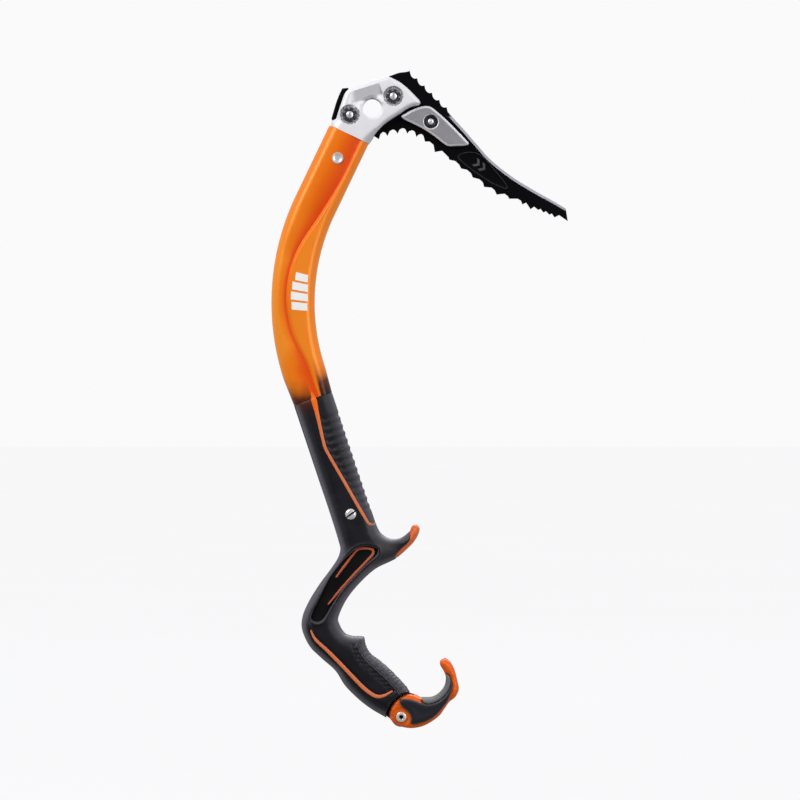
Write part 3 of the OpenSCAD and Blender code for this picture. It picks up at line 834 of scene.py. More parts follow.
def hexed(r, a):
    """Six flats around a circle of radius r."""
    return r / np.cos((a + math.pi / 6) % (math.pi / 3) - math.pi / 6)


def knurled(r, a):
    """A washer's edge with 14 lugs."""
    return r - 0.95 * (0.5 - 0.5 * np.clip(2.2 * np.cos(14 * a), -1, 1))


def castle(r, a):
    """A round nut with seven open slots."""
    return r - 1.35 * step_up(np.cos(7 * a + 0.6), 0.1, 0.75)


def bar(at, half_x, half_z, turn=0.0):
    """Corners of a rectangle about a place."""
    c, s = math.cos(turn), math.sin(turn)
    corners = ((-half_x, -half_z), (half_x, -half_z), (half_x, half_z), (-half_x, half_z))
    return [(at[0] + dx * c - dz * s, at[1] + dx * s + dz * c) for dx, dz in corners]


def build_pick_bolts():
    washer = [(7.2, 0, knurled), (7.2, 0.8, knurled), (6.85, 1.2, knurled), (5.7, 1.2), (5.35, 0.7),
              (3.1, 0.7), (3.1, 0)]
    washers = [lathe(at, [(r, side * (SEAT + up), *shape) for r, up, *shape in washer], 224, True)
               for at in (REAR_BOLT, FRONT_BOLT) for side in (LEFT, RIGHT)]
    joined("bolt_washers_knurled", washers, washer_metal)
    low, head = -SEAT - 0.75, SEAT + 0.75
    end = low - 2.5
    for at, word in ((REAR_BOLT, "rear"), (FRONT_BOLT, "front")):
        turned(f"pick_nut_{word}_castle", at,
               [(5.3, low, castle), (5.3, low - 1.5, castle), (4.95, low - 1.95, castle), (3.3, low - 1.95),
                (3.05, low - 1.6), (3.05, low)], nut_metal, 210, True)
        screw = turned(f"pick_bolt_{word}_shank", at,
                       [(0.7, end), (1.9, end + 0.12), (2.5, end + 0.4), (2.8, end + 0.95), (2.9, end + 2.2),
                        (2.9, head), (5.1, head), (5.3, head + 0.3), (5.3, head + 2.2), (4.9, head + 2.75),
                        (4.2, head + 3.0), (2.7, head + 3.0), (2.45, head + 2.8, hexed),
                        (2.4, head + 1.0, hexed), (0.5, head + 0.7)], bright)
        cut(screw, prism(bar(at, 0.35, 3), end - 1, end + 0.8))


def build_weight_screw():
    seat = WEIGHT_SEAT
    turned("weight_screw_socket", WEIGHT_BOLT,
           [(0.6, -seat - 2.3), (1.5, -seat - 2.2), (2.1, -seat - 1.8), (2.2, -seat - 1.2),
            (2.2, seat + 0.05), (4.4, seat + 0.05), (4.7, seat + 0.3), (4.7, seat + 2.0), (4.3, seat + 2.4),
            (2.4, seat + 2.4), (2.1, seat + 2.2, hexed), (2.0, seat + 1.0, hexed), (0.4, seat + 0.8)], bright)
    turned("weight_nut_round", WEIGHT_BOLT,
           [(4.8, -seat - 0.05), (4.8, -seat - 1.0), (4.5, -seat - 1.3), (2.8, -seat - 1.3),
            (2.35, -seat - 1.0), (2.35, -seat - 0.05)], dark_metal, ring=True)


def build_rivets():
    rim = [(4.25, 10.2), (4.25, 10.45), (4.0, 10.68), (3.2, 10.7), (2.6, 10.35), (1.4, 10.25), (0.4, 10.22)]
    turned("head_rivet_flush", RIVET, [(r, -y) for r, y in rim[::-1]] + rim, bright)
    face = 11.2
    head = turned("handle_bolt_slotted", HANDLE_BOLT,
                  [(0.6, -face - 1.75), (2.2, -face - 1.7), (3.3, -face - 1.5), (4.0, -face - 1.05),
                   (4.25, -face - 0.5), (4.25, -face + 0.3), (2.45, -face + 0.3), (2.45, face + 1.9),
                   (1.9, face + 2.3), (0.6, face + 2.4)], bright)
    cut(head, prism(bar(HANDLE_BOLT, 5, 0.6, math.radians(35)), -face - 3, -face - 0.45))
    turned("handle_nut_hex", HANDLE_BOLT,
           [(3.6, face - 0.2, hexed), (3.6, face + 1.5, hexed), (3.3, face + 1.95), (2.7, face + 1.95),
            (2.5, face + 1.7), (2.5, face - 0.2)], bright, ring=True)


build_pick_bolts()
build_weight_screw()
build_rivets()


# ---- head --------------------------------------------------------------

EYE_R, HEAD_HALF = 7.5, 10.5

head_back = [[-32.1, -13.2], [-30.6, -9.4], [-27.5, -8.2], [-24, 2], [-22, 8]]
head_top = [[-22, 8], [-19.6, 12.6], [-15, 15.2], [-6, 18.4], [3, 21.4], [11.8, 23.8]]
head_nose = [[11.8, 23.8], [20, 20], [27, 14.6], [33, 8.6], [36, 5.2], [36.4, 3.2], [34.6, 1.9]]
head_throat = [[34.6, 1.9], [28, 0.2], [20, -5], [10, -11.6], [3, -18.6], [-0.4, -24.2], [-2.7, -27.3]]
head_slot = [[-45, -8.6], [-31, -8.6], [-22, -13.4], [-12, -14.1], [-4.4, -17.2], [1.2, -21.9], [8, -28],
             [60, -28], [60, 45], [-45, 45]]

# The dish that runs down to the eye: its upper edge, and where its front end stops
DISH_TOP = np.array([[-18.0, 11.2], [4.6, 18.4]])
DISH_STOP = np.array([8.6, 8.4])


def unit(v):
    return v / np.linalg.norm(v)


def build_head():
    edge = np.vstack([straight(head_back, 0.7), smooth(head_top, 0.7)[1:], smooth(head_nose, 0.7)[1:],
                      smooth(head_throat, 0.7)[1:]])
    outline = ccw(chain(edge, straight([head_throat[-1], head_back[0]], 0.7)))
    seats = [(circle(at, r, 0.6), True) for at in (REAR_BOLT, FRONT_BOLT) for r in (7.42, 7.5, 7.95)]
    stop = unit(DISH_STOP - DISH_TOP[1])
    beside = np.array([-stop[1], stop[0]])
    facet = [(resample([DISH_TOP[0] + [4, 1.3], DISH_TOP[1], DISH_STOP], 0.7) + beside * gap, False)
             for gap in (0.0, 0.6)]
    eye = circle((0, 0), EYE_R, 0.5)
    verts, tris = region(outline, (0.1, 0.3, 0.65, 1.15, 1.8, 2.6), 0.9, [eye], seats + facet)
    up = np.array([math.sin(HEAD_TILT), math.cos(HEAD_TILT)])
    low = 1 - step_up((verts - np.array(head_back[0])) @ up, 0, 15)
    side = 7.4 * (1 - low) + 2.4 * low
    h = side + (HEAD_HALF - 0.2 * low - side) * bulge(away(verts, edge), 3.0 + 4.7 * low)
    h = relax(tris, h, 2)
    ahead = unit(DISH_TOP[1] - DISH_TOP[0])
    below = (verts - DISH_TOP[0]) @ np.array([ahead[1], -ahead[0]])
    sunk = 0.35 * np.clip(below, 0, 8.5) * step_up(-(verts - DISH_TOP[1]) @ beside, -0.6, 0.0)
    h -= sunk * step_up(verts[:, 0], -18.5, -12) * (1 - step_up(below, 8.5, 15))
    h -= np.clip(1.7 - (gap_to(verts, (0, 0)) - EYE_R), 0, None) * 0.8
    for at in (REAR_BOLT, FRONT_BOLT):
        gap = gap_to(verts, at)
        h = np.where(gap < 7.46, SEAT, h - np.clip(7.9 - gap, 0, None) * 0.8)
    head = make_piece("head_forging", *thicken(verts, tris, -h, h, 3), forged, sharp=32)
    cut(head, prism(head_slot, -2.1, 2.1), sharp=32)


build_head()


# ---- pick and weights --------------------------------------------------

PICK_HALF, PICK_EYE_R, BEVEL, WEIGHT_HALF = 2.0, 8.3, 2.0, 8.55

pick_tail = [[-30.6, -9], [-31, -7.6], [-27.6, 4], [-25.2, 10.4], [-22.8, 15.2], [-18.2, 15.6], [-18, 13.8]]
pick_hidden = [[-14, 14.4], [-5, 17.6], [8, 21.4]]
pick_beak = [[11.5, 24], [15, 25.2], [20, 27], [25, 27.6]]
top_tooth, top_step, top_teeth = np.array([28.5, 28.4]), np.array([5.6, -5.5]), 6
top_edge = [[0, 0], [0.5, -2.3], [1.0, -3.6], [1.6, -4.5], [2.5, -5.3], [3.6, -5.8]]
pick_back = [[60, -5.6], [70, -16.5], [80, -28], [90, -39], [105, -51], [120, -60.5], [135, -69], [147, -76]]
pick_point = [148.5, -85.5]
fine_teeth = [[142, -81], [138.5, -82.7], [136.5, -79.8], [134.5, -80.6], [132, -78],
              [130, -79], [128, -76.2], [126, -77], [123, -74.5], [120.3, -76.5], [117, -71.5]]
long_teeth = [[[114, -72.8], [113, -70], [110.5, -68.5]], [[104, -68.5], [103, -66.5], [100.5, -64.7]],
              [[94.5, -65.3], [93, -62], [90.5, -60]], [[85, -59.5], [84, -56], [81.5, -53.7]],
              [[76.3, -52.3], [75, -49], [72, -46.5]], [[67.5, -45.5], [66, -42.5], [63, -39.8]],
              [[58.5, -38.8], [58, -37], [53, -32]], [[47.5, -33], [46.5, -27.5], [43.5, -25]]]
short_teeth = [[[40, -25], [38.9, -20.8], [38.1, -19.8], [37, -19.3], [35, -19.9]],
               [[33.5, -21.5], [32.4, -17.8], [31.5, -16.9], [30.4, -16.5], [28.2, -17]],
               [[26.5, -19], [25.3, -16], [24.3, -15.1], [23, -14.8], [20.7, -15.9]],
               [[19.3, -19], [17.7, -16.8], [16.7, -16.1], [15.4, -15.9], [13.2, -17.2]],
               [[11.5, -20.8], [10, -18.4], [9, -17.9], [8, -17.8], [6.2, -19.4]],
               [[5, -23.3]], [[1.5, -21]]]
pick_foot = [[-4, -16.8], [-12, -13.7], [-22, -13], [-29, -9.2]]
weight_line = [[22, -6.6], [25, -4.4], [30, -1.6], [35, 0.3], [40, 1.3], [44, 0.8], [48, -2],
               [56, -9], [64, -17], [72, -25.4], [73, -27.6], [70, -28.6], [64, -28.8], [58, -28.9],
               [54, -26.8], [46, -20.6], [38, -15.4], [30, -11.4], [25, -9]]
recess_line = [[65, -36.4], [69.5, -41.6], [76, -46.8], [83, -51.6], [92, -57.2], [102, -60.8],
               [100, -55.5], [93, -47], [86, -38.8], [80, -34.4], [72, -33.4]]
CHEVRON_AT, CHEVRON_TURN = np.array([82.5, -44.0]), math.radians(-38)
chevron = [(-3.2, -3.3), (-0.8, -3.3), (2.0, 0), (-0.8, 3.3), (-3.2, 3.3), (-0.4, 0)]


def pick_lines():
    """The pick's outline in order, and its bevelled upper back on its own."""
    crest = [top_tooth + i * top_step + shift for i in range(top_teeth) for shift in top_edge
             if i < top_teeth - 1 or shift[1] > -4]
    back = smooth(pick_back, 0.8)
    teeth = [pick_point, *fine_teeth, *[p for t in long_teeth + short_teeth for p in t], *pick_foot]
    outline = chain(straight(pick_tail + pick_hidden, 0.8), smooth(pick_beak, 0.8), straight(crest, 0.7),
                    back, straight([pick_back[-1], *teeth, pick_tail[0]], 0.7))
    return ccw(outline), back


def build_pick():
    outline, back = pick_lines()
    recess = smooth(recess_line, loop=True)
    eye = circle((0, 0), PICK_EYE_R, 0.8)
    verts, tris = region(outline, (0.12, 0.4, 0.8, 1.4, 2.0), 1.1, [eye], [(recess, True)])
    h = PICK_HALF - 1.2 * (1 - np.clip(away(verts, back) / BEVEL, 0, 1))
    h = np.minimum(h, 1.5 + np.clip(away(verts, outline, True), 0, 0.5))
    h -= 0.3 * step_up(depth_in(verts, recess), 0, 0.9)
    h *= 1 - 0.3 * step_up(verts[:, 0], 118, 148)
    make_piece("pick_blade", *thicken(verts, tris, -h, h, 2), black_steel, sharp=28)


def build_pick_marks():
    """Two plain chevrons where a stamped mark would be, and a lighter grey ring along the edge of their
    recess.
    """
    edge = closed(recess_line, 0.6)
    ring = region(inset(edge, -0.2), spacing=0.6, holes=[inset(edge, 0.2)])
    ahead = np.array([math.cos(CHEVRON_TURN), math.sin(CHEVRON_TURN)])
    across = np.array([-ahead[1], ahead[0]])
    marks = []
    for shift in (-3.1, 2.3):
        line = np.array([CHEVRON_AT + ahead * (a + shift) + across * b for a, b in chevron])
        line = ccw(straight(np.vstack([line, line[:1]]), 0.5)[:-1])
        marks.append(region(line, spacing=0.6))
    for side, word in SIDES:
        parts = [one_side(side, *mark, 1.6, 1.84) for mark in marks]
        joined(f"pick_chevrons_{word}", parts, etched, extra=True)
        make_piece(f"pick_recess_edge_{word}", *one_side(side, *ring, 1.6, 2.04), recess_ring_steel, extra=True)


def build_weights():
    outline = closed(weight_line, 0.7)
    seats = [(circle(WEIGHT_BOLT, r, 0.5), True) for r in (5.35, 5.43, 6.1)]
    verts, tris = region(outline, (0.12, 0.5, 1.0, 1.5, 1.62, 2.2), 0.9, (), seats)
    d = away(verts, outline, True)
    h = WEIGHT_HALF - 1.35 * (1 - np.clip(d / 1.55, 0, 1)) - 0.35 * np.clip(1 - d / 0.3, 0, 1)
    gap = gap_to(verts, WEIGHT_BOLT)
    h = np.where(gap < 5.4, WEIGHT_SEAT, h - 0.75 * np.clip(6.1 - gap, 0, None))
    for side, word in SIDES:
        make_piece(f"weight_{word}_bevelled", *one_side(side, verts, tris, 2.05, h, 2), grey_steel, sharp=25)


build_pick()
build_pick_marks()
build_weights()


# ---- handle ------------------------------------------------------------

handle_back = [[-29.4, -316], [-25.5, -329], [-24.3, -335], [-26.4, -342], [-32, -350.5],
               [-40.5, -362], [-48.5, -375], [-53, -386], [-53.2, -396], [-47.5, -408.5],
               [-38, -418], [-28, -427], [-20.5, -438.5], [-10, -449], [0, -456.5], [10.8, -462.7]]
handle_end = [[10.8, -462.7], [10.4, -458.6], [12, -454], [15, -449], [20, -444.9], [25, -442.9],
              [28.4, -443]]
handle_palm = [[28.4, -443], [25, -438], [15, -427.5], [6, -419.5], [-1, -414.2], [-4.4, -408.6],
               [-5.8, -403]]
handle_shelf = [[-5.8, -403], [-7.2, -401.2], [-15, -400.8], [-21, -398.4], [-25, -392], [-25.6, -386],
                [-19.5, -373], [-10, -361], [2, -350], [14, -344], [18, -342]]
handle_rest = [[18, -342], [26.5, -335], [32.5, -328], [35.5, -321], [34.6, -317.4], [31, -317],
               [27.6, -322], [21, -326.5], [13, -326.8], [6, -322], [2.2, -314]]
tip_outer = [[28.4, -321.6], [30.4, -317.2], [34, -316.4], [36, -319.6], [34.5, -324.5],
             [31, -330], [26, -335], [21, -339.5], [17.6, -341.8]]
tip_inner = [[17.6, -341.8], [18.2, -339.2], [22, -334.4], [27.2, -329.6], [28.9, -325.2], [28.4, -321.6]]
pocket = [[3.6, -333.4], [4.9, -336.2], [3.4, -339.6], [-3.7, -345.8], [-12, -354.2], [-22, -365],
          [-28.7, -375], [-34.5, -385], [-38.6, -389.4], [-43, -390.2], [-46.8, -387.5], [-46, -382.5],
          [-42.4, -375], [-33.7, -358.3], [-28.7, -350.8], [-20.5, -341], [-12, -333.6], [-4, -331.6]]
loop_line = [[-27.5, -356], [-20, -345.8], [-13, -336.6], [-9.4, -334.2], [-3, -333.9], [0.6, -335.4],
             [0.2, -338.6], [-5, -344.4], [-15, -355], [-25, -366.3], [-33.6, -376.6]]
lower_trim = [[-46.5, -395.5], [-43, -402.5], [-35, -410], [-25, -420], [-15, -430.5],
              [-5, -440.5], [3, -445.5], [9, -445], [15.5, -441.5]]
upper_trim = [[-44.2, -221.2], [-41.1, -234.3], [-38.1, -248], [-35.8, -257], [-33.3, -262.2],
              [-26, -275], [-19.6, -286], [-12, -299.5], [-4.6, -312.4]]
pad_seam = [[-5.8, -403], [-10.6, -405], [-9, -411], [-4, -418.4], [3, -425], [12, -433.4], [21.5, -444.1]]

# Radius and half width of the lug that carries the grip rest, and the two bores for its bolt
LUG_R, LUG_HALF, LUG_BORE, FORK_BORE = 7.2, 5.0, 3.97, 3.95
SLEEVE_TOP = ARC_END + TAPER_RUN + 0.25
SLEEVE_HALF = 15.2


def on_sleeve(u, drop):
    return shaft_point([SLEEVE_TOP + drop], [u])[0]


rear_top, front_top = on_sleeve(-SLEEVE_HALF, 0), on_sleeve(SLEEVE_HALF, 0)
trim_line = np.vstack([smooth(upper_trim), smooth([[-4.6, -312.4], [-2.6, -315.2], [0.4, -316.0]])[1:]])
trim_line[0] = on_sleeve(0.6, 0)
trench, pool = smooth(lower_trim), closed(pocket, 0.7)
back_line, end_line, palm_line = smooth(handle_back), smooth(handle_end), smooth(handle_palm)
shelf_line, rest_line, seam_line = smooth(handle_shelf), smooth(handle_rest), smooth(pad_seam)
inner_line = smooth(tip_inner)
# The end line up to the seam of the lower pad, and on from there
split = nearest(end_line, (21.5, -444.1))
rear_end, pad_end = end_line[: split + 1], end_line[split:]
seam_line[-1] = end_line[split]
tail = rest_line[nearest(rest_line, tip_outer[0]) :]

rear_skin = np.vstack([straight([on_sleeve(-SLEEVE_HALF, -30), handle_back[0]], 2), back_line,
                       [[18.5, -467.1]]])
front_skin = np.vstack([[[33.5, -449.5]], palm_line, shelf_line, rest_line,
                        straight([handle_rest[-1], front_top, on_sleeve(SLEEVE_HALF, -30)], 2)])


def skin(p, tris=None):
    """Half width of the handle's rounded body at each point."""
    d = np.minimum(away(p, rear_skin), away(p, front_skin))
    grip = step_up(-p[:, 1], 292, 336)
    finger = step_up(p[:, 0], 2, 22) * step_up(p[:, 1], -350, -340)
    top = 11.2 + 2.3 * grip - 4.4 * finger
    side = 1.7 + 1.3 * grip - 0.2 * finger
    h = side + (top - side) * bulge(d, 9.5 - 0.6 * grip - 4.3 * finger)
    return h if tris is None else h + (relax(tris, h, 10) - h) * step_up(d, 4.0, 7.0)


def groove(p, line, depth=0.4):
    """How much a seam along a line lowers the skin."""
    return depth * (1 - np.clip(away(p, line) / 0.45, 0, 1) ** 2)


def down_shaft(points):
    """Run down the shaft and offset from its middle, for points beside the straight grip."""
    top = on_axis([SLEEVE_TOP])
    down = np.array([math.sin(GRIP_TILT), -math.cos(GRIP_TILT)])
    flat = points[:, [0, 2]] - top[0][0]
    return flat @ down, flat @ top[1][0]


def lobes(run, pitch):
    """Rounded ribs with narrow valleys, from 0 in a valley to 1 on a rib."""
    return np.sqrt(np.abs(np.sin(math.pi * run / pitch)))


def palm_bumps(points):
    """Slanted rows of raised pips under the palm, as a depth below their tops."""
    along = points[:, [0, 2]] @ [0.73, -0.68]
    across = points[:, [0, 2]] @ [0.68, 0.73] + 0.9 * np.abs(points[:, 1])
    pips = np.cos(along * 1.75) * np.cos(across * 1.5 + along * 0.5)
    return 0.45 * (np.clip(1.4 * pips, -0.6, 1) - 1)


def stipple(points):
    """Faint pips that carry the lower pad's pattern on over the shells."""
    flat = points[:, [0, 2]]
    near = away(flat, seam_line)
    patch = (1 - step_up(near, 4.0, 7.0)) * step_up(near, 0.6, 1.4) * step_up(-flat[:, 1], 404, 409)
    patch = patch * step_up(away(flat, end_line), 2.0, 4.0) * step_up(np.abs(points[:, 1]), 4, 9)
    return palm_bumps(points) * 0.8 * patch


def notches(points):
    """Shallow notches down the back of the upper grip."""
    run, u = down_shaft(points)
    along = step_up(run, 16, 24) * (1 - step_up(run, 82, 92))
    rear = 1 - step_up(u, -14.6, -10.5)
    return -0.42 * (1 - lobes(run, 3.1)) * along * rear * step_up(np.abs(points[:, 1]), 0.1, 0.9)


def build_shells():
    outline = ccw(chain(
        straight([rear_top, handle_back[0]]), back_line, rear_end, seam_line[::-1], shelf_line, inner_line,
        tail, trim_line[::-1], straight([trim_line[0], rear_top])))
    rims = [(inset(pool, gap), True) for gap in (-2.4, -1.7, -1.1, -0.6, -0.2, 0.1, 0.4, 0.7, 1.0)]
    verts, tris = region(outline, (0.12, 0.35, 0.7, 1.2, 2.0, 3.0, 4.3), 1.15, (), rims)
    h = skin(verts, tris)
    d = depth_in(verts, pool)
    h -= 4.6 * step_up(d, -0.2, 1.0)
    h += 0.34 * np.exp(-(((d + 1.3) / 0.85) ** 2)) * (np.abs(d + 1.3) < 3)
    h -= 0.5 * np.exp(-((away(verts, trench) / 1.9) ** 2))
    for seam in (trim_line, rear_end, seam_line, inner_line, np.array([rear_top, front_top])):
        h -= groove(verts, seam)
    h = np.maximum(h, 0.4)
    for side, word in SIDES:
        points, faces = one_side(side, verts, tris, 0.12, h, 3)
        points = push(points, faces, notches(points) + stipple(points))
        make_piece(f"handle_shell_{word}_moulding", points, faces, shell_black, sharp=72)


def build_pockets():
    """Smooth black inserts on the floors of the side pockets, with their raised loops."""
    path = smooth(loop_line)
    verts, tris = region(pool, (0.3, 0.8, 1.5), 1.4)
    floor = 9.1 + 0.25 * bulge(away(verts, pool, True), 1.2)
    floor += 0.35 * np.exp(-((away(verts, path) / 2.0) ** 2))
    wide = np.interp(np.linspace(0, 1, len(path)), [0, 0.12, 0.85, 1], [0.7, 1.0, 1.1, 0.6])
    for side, word in SIDES:
        make_piece(f"pocket_insert_{word}", *one_side(side, verts, tris, 6.5, floor), pocket_black,
                   sharp=50, extra=True)
        bead(f"loop_trim_{word}_bead", path, side * 9.9, wide, 0.9, shaded_loop_orange)


def build_trims():
    share = np.linspace(0, 1, len(trench))
    lower_wide = np.interp(share, [0, 0.1, 0.3, 0.7, 0.84, 1], [0.6, 1.15, 1.4, 1.5, 1.45, 0.7])
    lead = np.arange(-5.6, -0.3, 0.7)
    above = (SLEEVE_TOP + lead, 0.6 - 0.02 * lead)
    path = np.vstack([shaft_point(*above), trim_line])
    level = np.r_[shaft_face(*above) - 0.5, skin(trim_line) - 0.3]
    wide = np.interp(run_along(path), [0, 4.5, 8, 16, 26, 38, 107, 112],
                     [0.4, 2.0, 2.3, 1.7, 1.35, 1.25, 1.25, 1.0])
    for side, word in SIDES:
        bead(f"lower_trim_{word}_bead", trench, side * (skin(trench) - 0.28), lower_wide, 0.75, trim_orange)
        bead(f"upper_trim_{word}_bead", path, side * level, wide, 0.7, trim_orange)


def build_upper_pad():
    outline = ccw(chain(trim_line, straight([handle_rest[-1], front_top]),
                        straight([front_top, trim_line[0]])))
    verts, tris = region(outline, (0.12, 0.35, 0.7, 1.2, 1.8), 0.95)
    h = skin(verts, tris) - groove(verts, trim_line)
    points, faces = thicken(verts, tris, -h, h, 6)
    run, _ = down_shaft(points)
    seam = away(points[:, [0, 2]], trim_line)
    along = step_up(run, 14, 19) * (1 - step_up(run, 90, 95))
    ribs = lobes(run + 0.12 * np.abs(points[:, 1]), 5.8) * 0.5 + 0.25 - 0.25 * np.cos(2 * math.pi * run / 5.8)
    fade = step_up(seam, 1.6, 3.6)
    fine = 0.12 * np.sin(points[:, 0] * 2.6) * np.sin(points[:, 2] * 2.6)
    amount = (-1.2 * (1 - ribs)) * along * fade + fine * along * (1 - fade) * step_up(seam, 0.8, 1.6)
    make_piece("upper_grip_pad_ribbed", push(points, faces, amount), faces, rubber, sharp=50)


def build_lower_pad():
    outline = ccw(chain(palm_line, seam_line, pad_end))
    verts, tris = region(outline, (0.12, 0.35, 0.7, 1.2, 1.8), 0.8)
    h = skin(verts, tris) - groove(verts, seam_line) - groove(verts, pad_end)
    points, faces = thicken(verts, tris, -h, h, 14)
    flat = points[:, [0, 2]]
    edge = np.minimum(away(flat, seam_line), away(flat, pad_end))
    points = push(points, faces, palm_bumps(points) * step_up(edge, 0.5, 1.5))
    make_piece("lower_grip_pad_dimpled", points, faces, rubber, sharp=60)


def build_tip():
    outer = smooth(tip_outer, 0.6)
    verts, tris = region(ccw(chain(outer, inner_line)), (0.1, 0.3, 0.6, 1.1, 1.8), 0.7)
    far_side = np.vstack([outer[::-1], [[27.6, -322], [21, -326.5]]])
    h = 2.4 + (9.3 - 2.4) * bulge(away(verts, far_side), 4.6)
    h = relax(tris, np.minimum(h, 9.2 + 4.0 * (1 - step_up(verts[:, 0], 12, 24))), 12)
    h -= groove(verts, inner_line, 0.3)
    make_piece("finger_rest_tip_cap", *thicken(verts, tris, -h, h, 8), orange, sharp=50)


def build_core():
    """The rigid core: a web between the shells and the tongue that carries the grip rest."""
    around = ccw(chain(straight([rear_top, handle_back[0]]), back_line, end_line, palm_line, shelf_line,
                       rest_line, straight([handle_rest[-1], front_top, rear_top])))
    verts, tris = region(around, (0.7,), 2.4)
    tris = tris[(away(verts, around, True)[tris] > 0.6).all(1)]
    web = thicken(*used_only(verts, tris), -0.6, 0.6)
    lug = arc(PIVOT, LUG_R, np.linspace(math.radians(-150), math.radians(60), 40))
    rest = [lug[-1], [29.3, -452.6], [28.6, -443.8], [20, -441.8], [4, -441.5], [4, -456]]
    outline = ccw(chain(straight([[4, -456], lug[0]]), lug, straight(rest)))
    hole = circle(PIVOT, LUG_BORE, 0.5)
    verts, tris = region(outline, (0.12, 0.35, 0.7), 1.0, [hole])
    h = LUG_HALF - 0.5 * (1 - bulge(np.minimum(away(verts, outline, True), away(verts, hole, True)), 0.7))
    joined("handle_core_tongue", [web, thicken(verts, tris, -h, h, 2)], core_black, sharp=40)


build_shells()
build_pockets()
build_trims()
build_upper_pad()
build_lower_pad()
build_tip()
build_core()


# ---- grip rest ---------------------------------------------------------

rest_back = [[13.4, -463], [16.4, -466.2], [21, -468.8], [30, -470.2], [40, -468], [50, -461.6],
             [55, -455.2], [58.6, -450.2], [63, -446.6], [65.6, -441], [65, -436], [62.6, -427],
             [59.6, -421.2], [55.8, -417.8]]
rest_inner = [[55.8, -417.8], [52.6, -419.2], [51.4, -422], [54.8, -428.2], [56, -434], [54.6, -440],
              [50.4, -445], [45, -447.8], [38, -448], [32.4, -445.6], [27, -444.5], [21.6, -446.2],
              [16, -450.9], [13.2, -456], [12.6, -460]]
liner_inner = [[55.4, -429.6], [56, -434], [54.6, -440], [50.4, -445], [45, -447.8], [37.4, -448.0]]
liner_outer = [[37.4, -448.0], [40, -451.5], [46, -451.1], [53.1, -447.1], [58.1, -440.7], [59.5, -434],
               [57.6, -429.6], [55.4, -429.6]]
rest_pad = [[21.4, -448], [28, -447.8], [34, -449.6], [40, -451.6], [46.2, -451.2],
            [53.2, -447.2], [58.2, -440.8], [59.6, -434], [60.6, -437], [60, -442], [58, -448],
            [55, -452.6], [48, -460.5], [40, -465], [33, -466.8], [29, -466.4], [29.2, -462],
            [27.6, -458], [23, -454], [20.8, -450.6]]


def build_rest_frame():
    inner, liner = smooth(rest_inner, 0.7), smooth(liner_outer, 0.7)
    first, last = nearest(inner, liner_inner[0]), nearest(inner, liner_inner[-1])
    outline = ccw(chain(smooth(rest_back, 0.7), inner[: first + 1], liner[::-1], inner[last:]))
    seats = [(circle(PIVOT, r, 0.5), True) for r in (6.0, 7.4)]
    bore = circle(PIVOT, FORK_BORE, 0.4)
    verts, tris = region(outline, (0.1, 0.3, 0.65, 1.1, 1.7, 2.5, 3.4), 0.85, [bore], seats)
    h = relax(tris, 7.2 + 3.8 * bulge(away(verts, outline, True), 3.2), 6)
    h -= 0.5 * np.clip((7.4 - gap_to(verts, PIVOT)) / 1.4, 0, 1)
    piece = make_piece("grip_rest_frame_forging", *thicken(verts, tris, -h, h, 6), rest_metal, "grip_rest")
    fork = [[PIVOT[0] + 9.4, PIVOT[1] + 4.6], [32, -440], [0, -440], [0, -475], [17, -475],
            [PIVOT[0] + 3, PIVOT[1] - 9.9]]
    cut(piece, prism(circle(PIVOT, 10.4, 0.8), -6.2, 6.2), prism(fork, -6.19, 6.19))


def build_rest_pads():
    outline = closed(rest_pad, 0.6)
    verts, tris = region(outline, (0.1, 0.3, 0.6, 1.0, 1.5), 0.85)
    d = away(verts, outline, True)
    h = relax(tris, 11.3 + 1.7 * bulge(d, 1.5), 3) - 0.2 * step_up(d, 3.0, 7.5)
    for side, word in SIDES:
        make_piece(f"grip_rest_pad_{word}_moulding", *one_side(side, verts, tris, 10.2, h, 2), pad_black,
                   "grip_rest", 45)


def build_rest_liner():
    inner = smooth(liner_inner, 0.6)
    outline = ccw(chain(inner, smooth(liner_outer, 0.6)))
    verts, tris = region(outline, (0.1, 0.3, 0.6, 1.0, 1.5), 0.7)
    h = relax(tris, 10.6 + 2.4 * bulge(away(verts, outline, True), 2.0), 4)
    points, faces = thicken(verts, tris, -h, h, 22)
    run = np.arctan2(points[:, 2] + 433, points[:, 0] - 41) * 15
    facing = 1 - step_up(away(points[:, [0, 2]], inner), 0.2, 1.0)
    amount = -0.3 * (1 - lobes(run, 2.6)) * facing * (1 - step_up(np.abs(points[:, 1]), 6.5, 9))
    make_piece("grip_rest_liner_ribbed", push(points, faces, amount), faces, liner_grey, "grip_rest", 45)


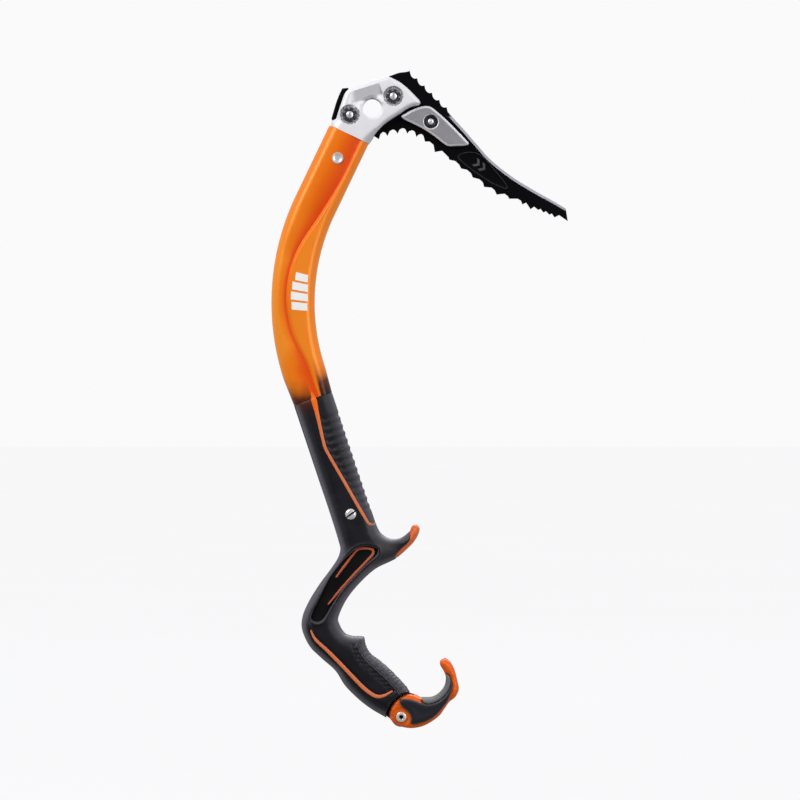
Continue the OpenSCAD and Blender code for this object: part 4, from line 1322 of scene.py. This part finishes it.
def build_pivot():
    face = 11.0
    turned("grip_rest_bolt_bush", PIVOT,
           [(0.5, -face + 3.6), (1.55, -face + 3.4, hexed), (1.6, -face - 0.9, hexed), (1.85, -face - 1.05),
            (3.3, -face - 1.05), (3.75, -face - 0.75), (3.88, -face - 0.3), (3.88, face - 0.1),
            (2.95, face - 0.1), (2.95, face + 2.7), (2.6, face + 3.0), (0.6, face + 3.0)],
           bush, body="grip_rest")
    # A dark lining inside the bush's hex socket: painted shade for the socket's depth
    turned("grip_rest_bolt_socket", PIVOT,
           [(0.5, -face + 3.7), (1.62, -face + 3.7, hexed), (1.66, -face + 0.5, hexed),
            (1.3, -face + 0.6, hexed), (0.4, -face + 1.4)],
           pocket_black, body="grip_rest", slot="white_bush", extra=True)
    turned("grip_rest_nut_hex", PIVOT,
           [(4.8, face - 0.6, hexed), (4.8, face + 1.9, hexed), (4.4, face + 2.5), (3.4, face + 2.5),
            (3.05, face + 2.2), (3.05, face - 0.6)], bright, ring=True, body="grip_rest")
    washer = [(3.97, 5.1), (7.7, 5.1), (7.95, 5.3), (7.95, 5.95), (7.7, 6.15), (3.97, 6.15)]
    rings = [lathe(PIVOT, [(r, side * y) for r, y in washer], ring=True) for side in (LEFT, RIGHT)]
    joined("friction_washers_pair", rings, washer_metal, body="grip_rest")


build_rest_frame()
build_rest_pads()
build_rest_liner()
build_pivot()


# ---- floor and finish --------------------------------------------------

FLOOR_Z = -0.53
FLOOR_HALF = 20.0
FLOOR_GLOW = 0.965


def make_floor():
    mesh = bpy.data.meshes.new("floor")
    corners = bar((0, 0), FLOOR_HALF, FLOOR_HALF)
    mesh.from_pydata([(x, y, FLOOR_Z) for x, y in corners], [], [(0, 1, 2, 3)])
    floor = show("floor", mesh)
    look = Look("floor_paper", 0.9, Specular_IOR_Level=0.0, Emission_Strength=FLOOR_GLOW)
    look.set("Emission Color", look.blend(look.noise(3), (0.945, 0.945, 0.955, 1), (0.965, 0.965, 0.975, 1)))
    look.set("Base Color", look.blend(look.noise(8), rgb(38, 38, 40), rgb(44, 44, 46)))
    mesh.materials.append(look.material)
    floor.visible_diffuse = floor.visible_glossy = False


make_floor()
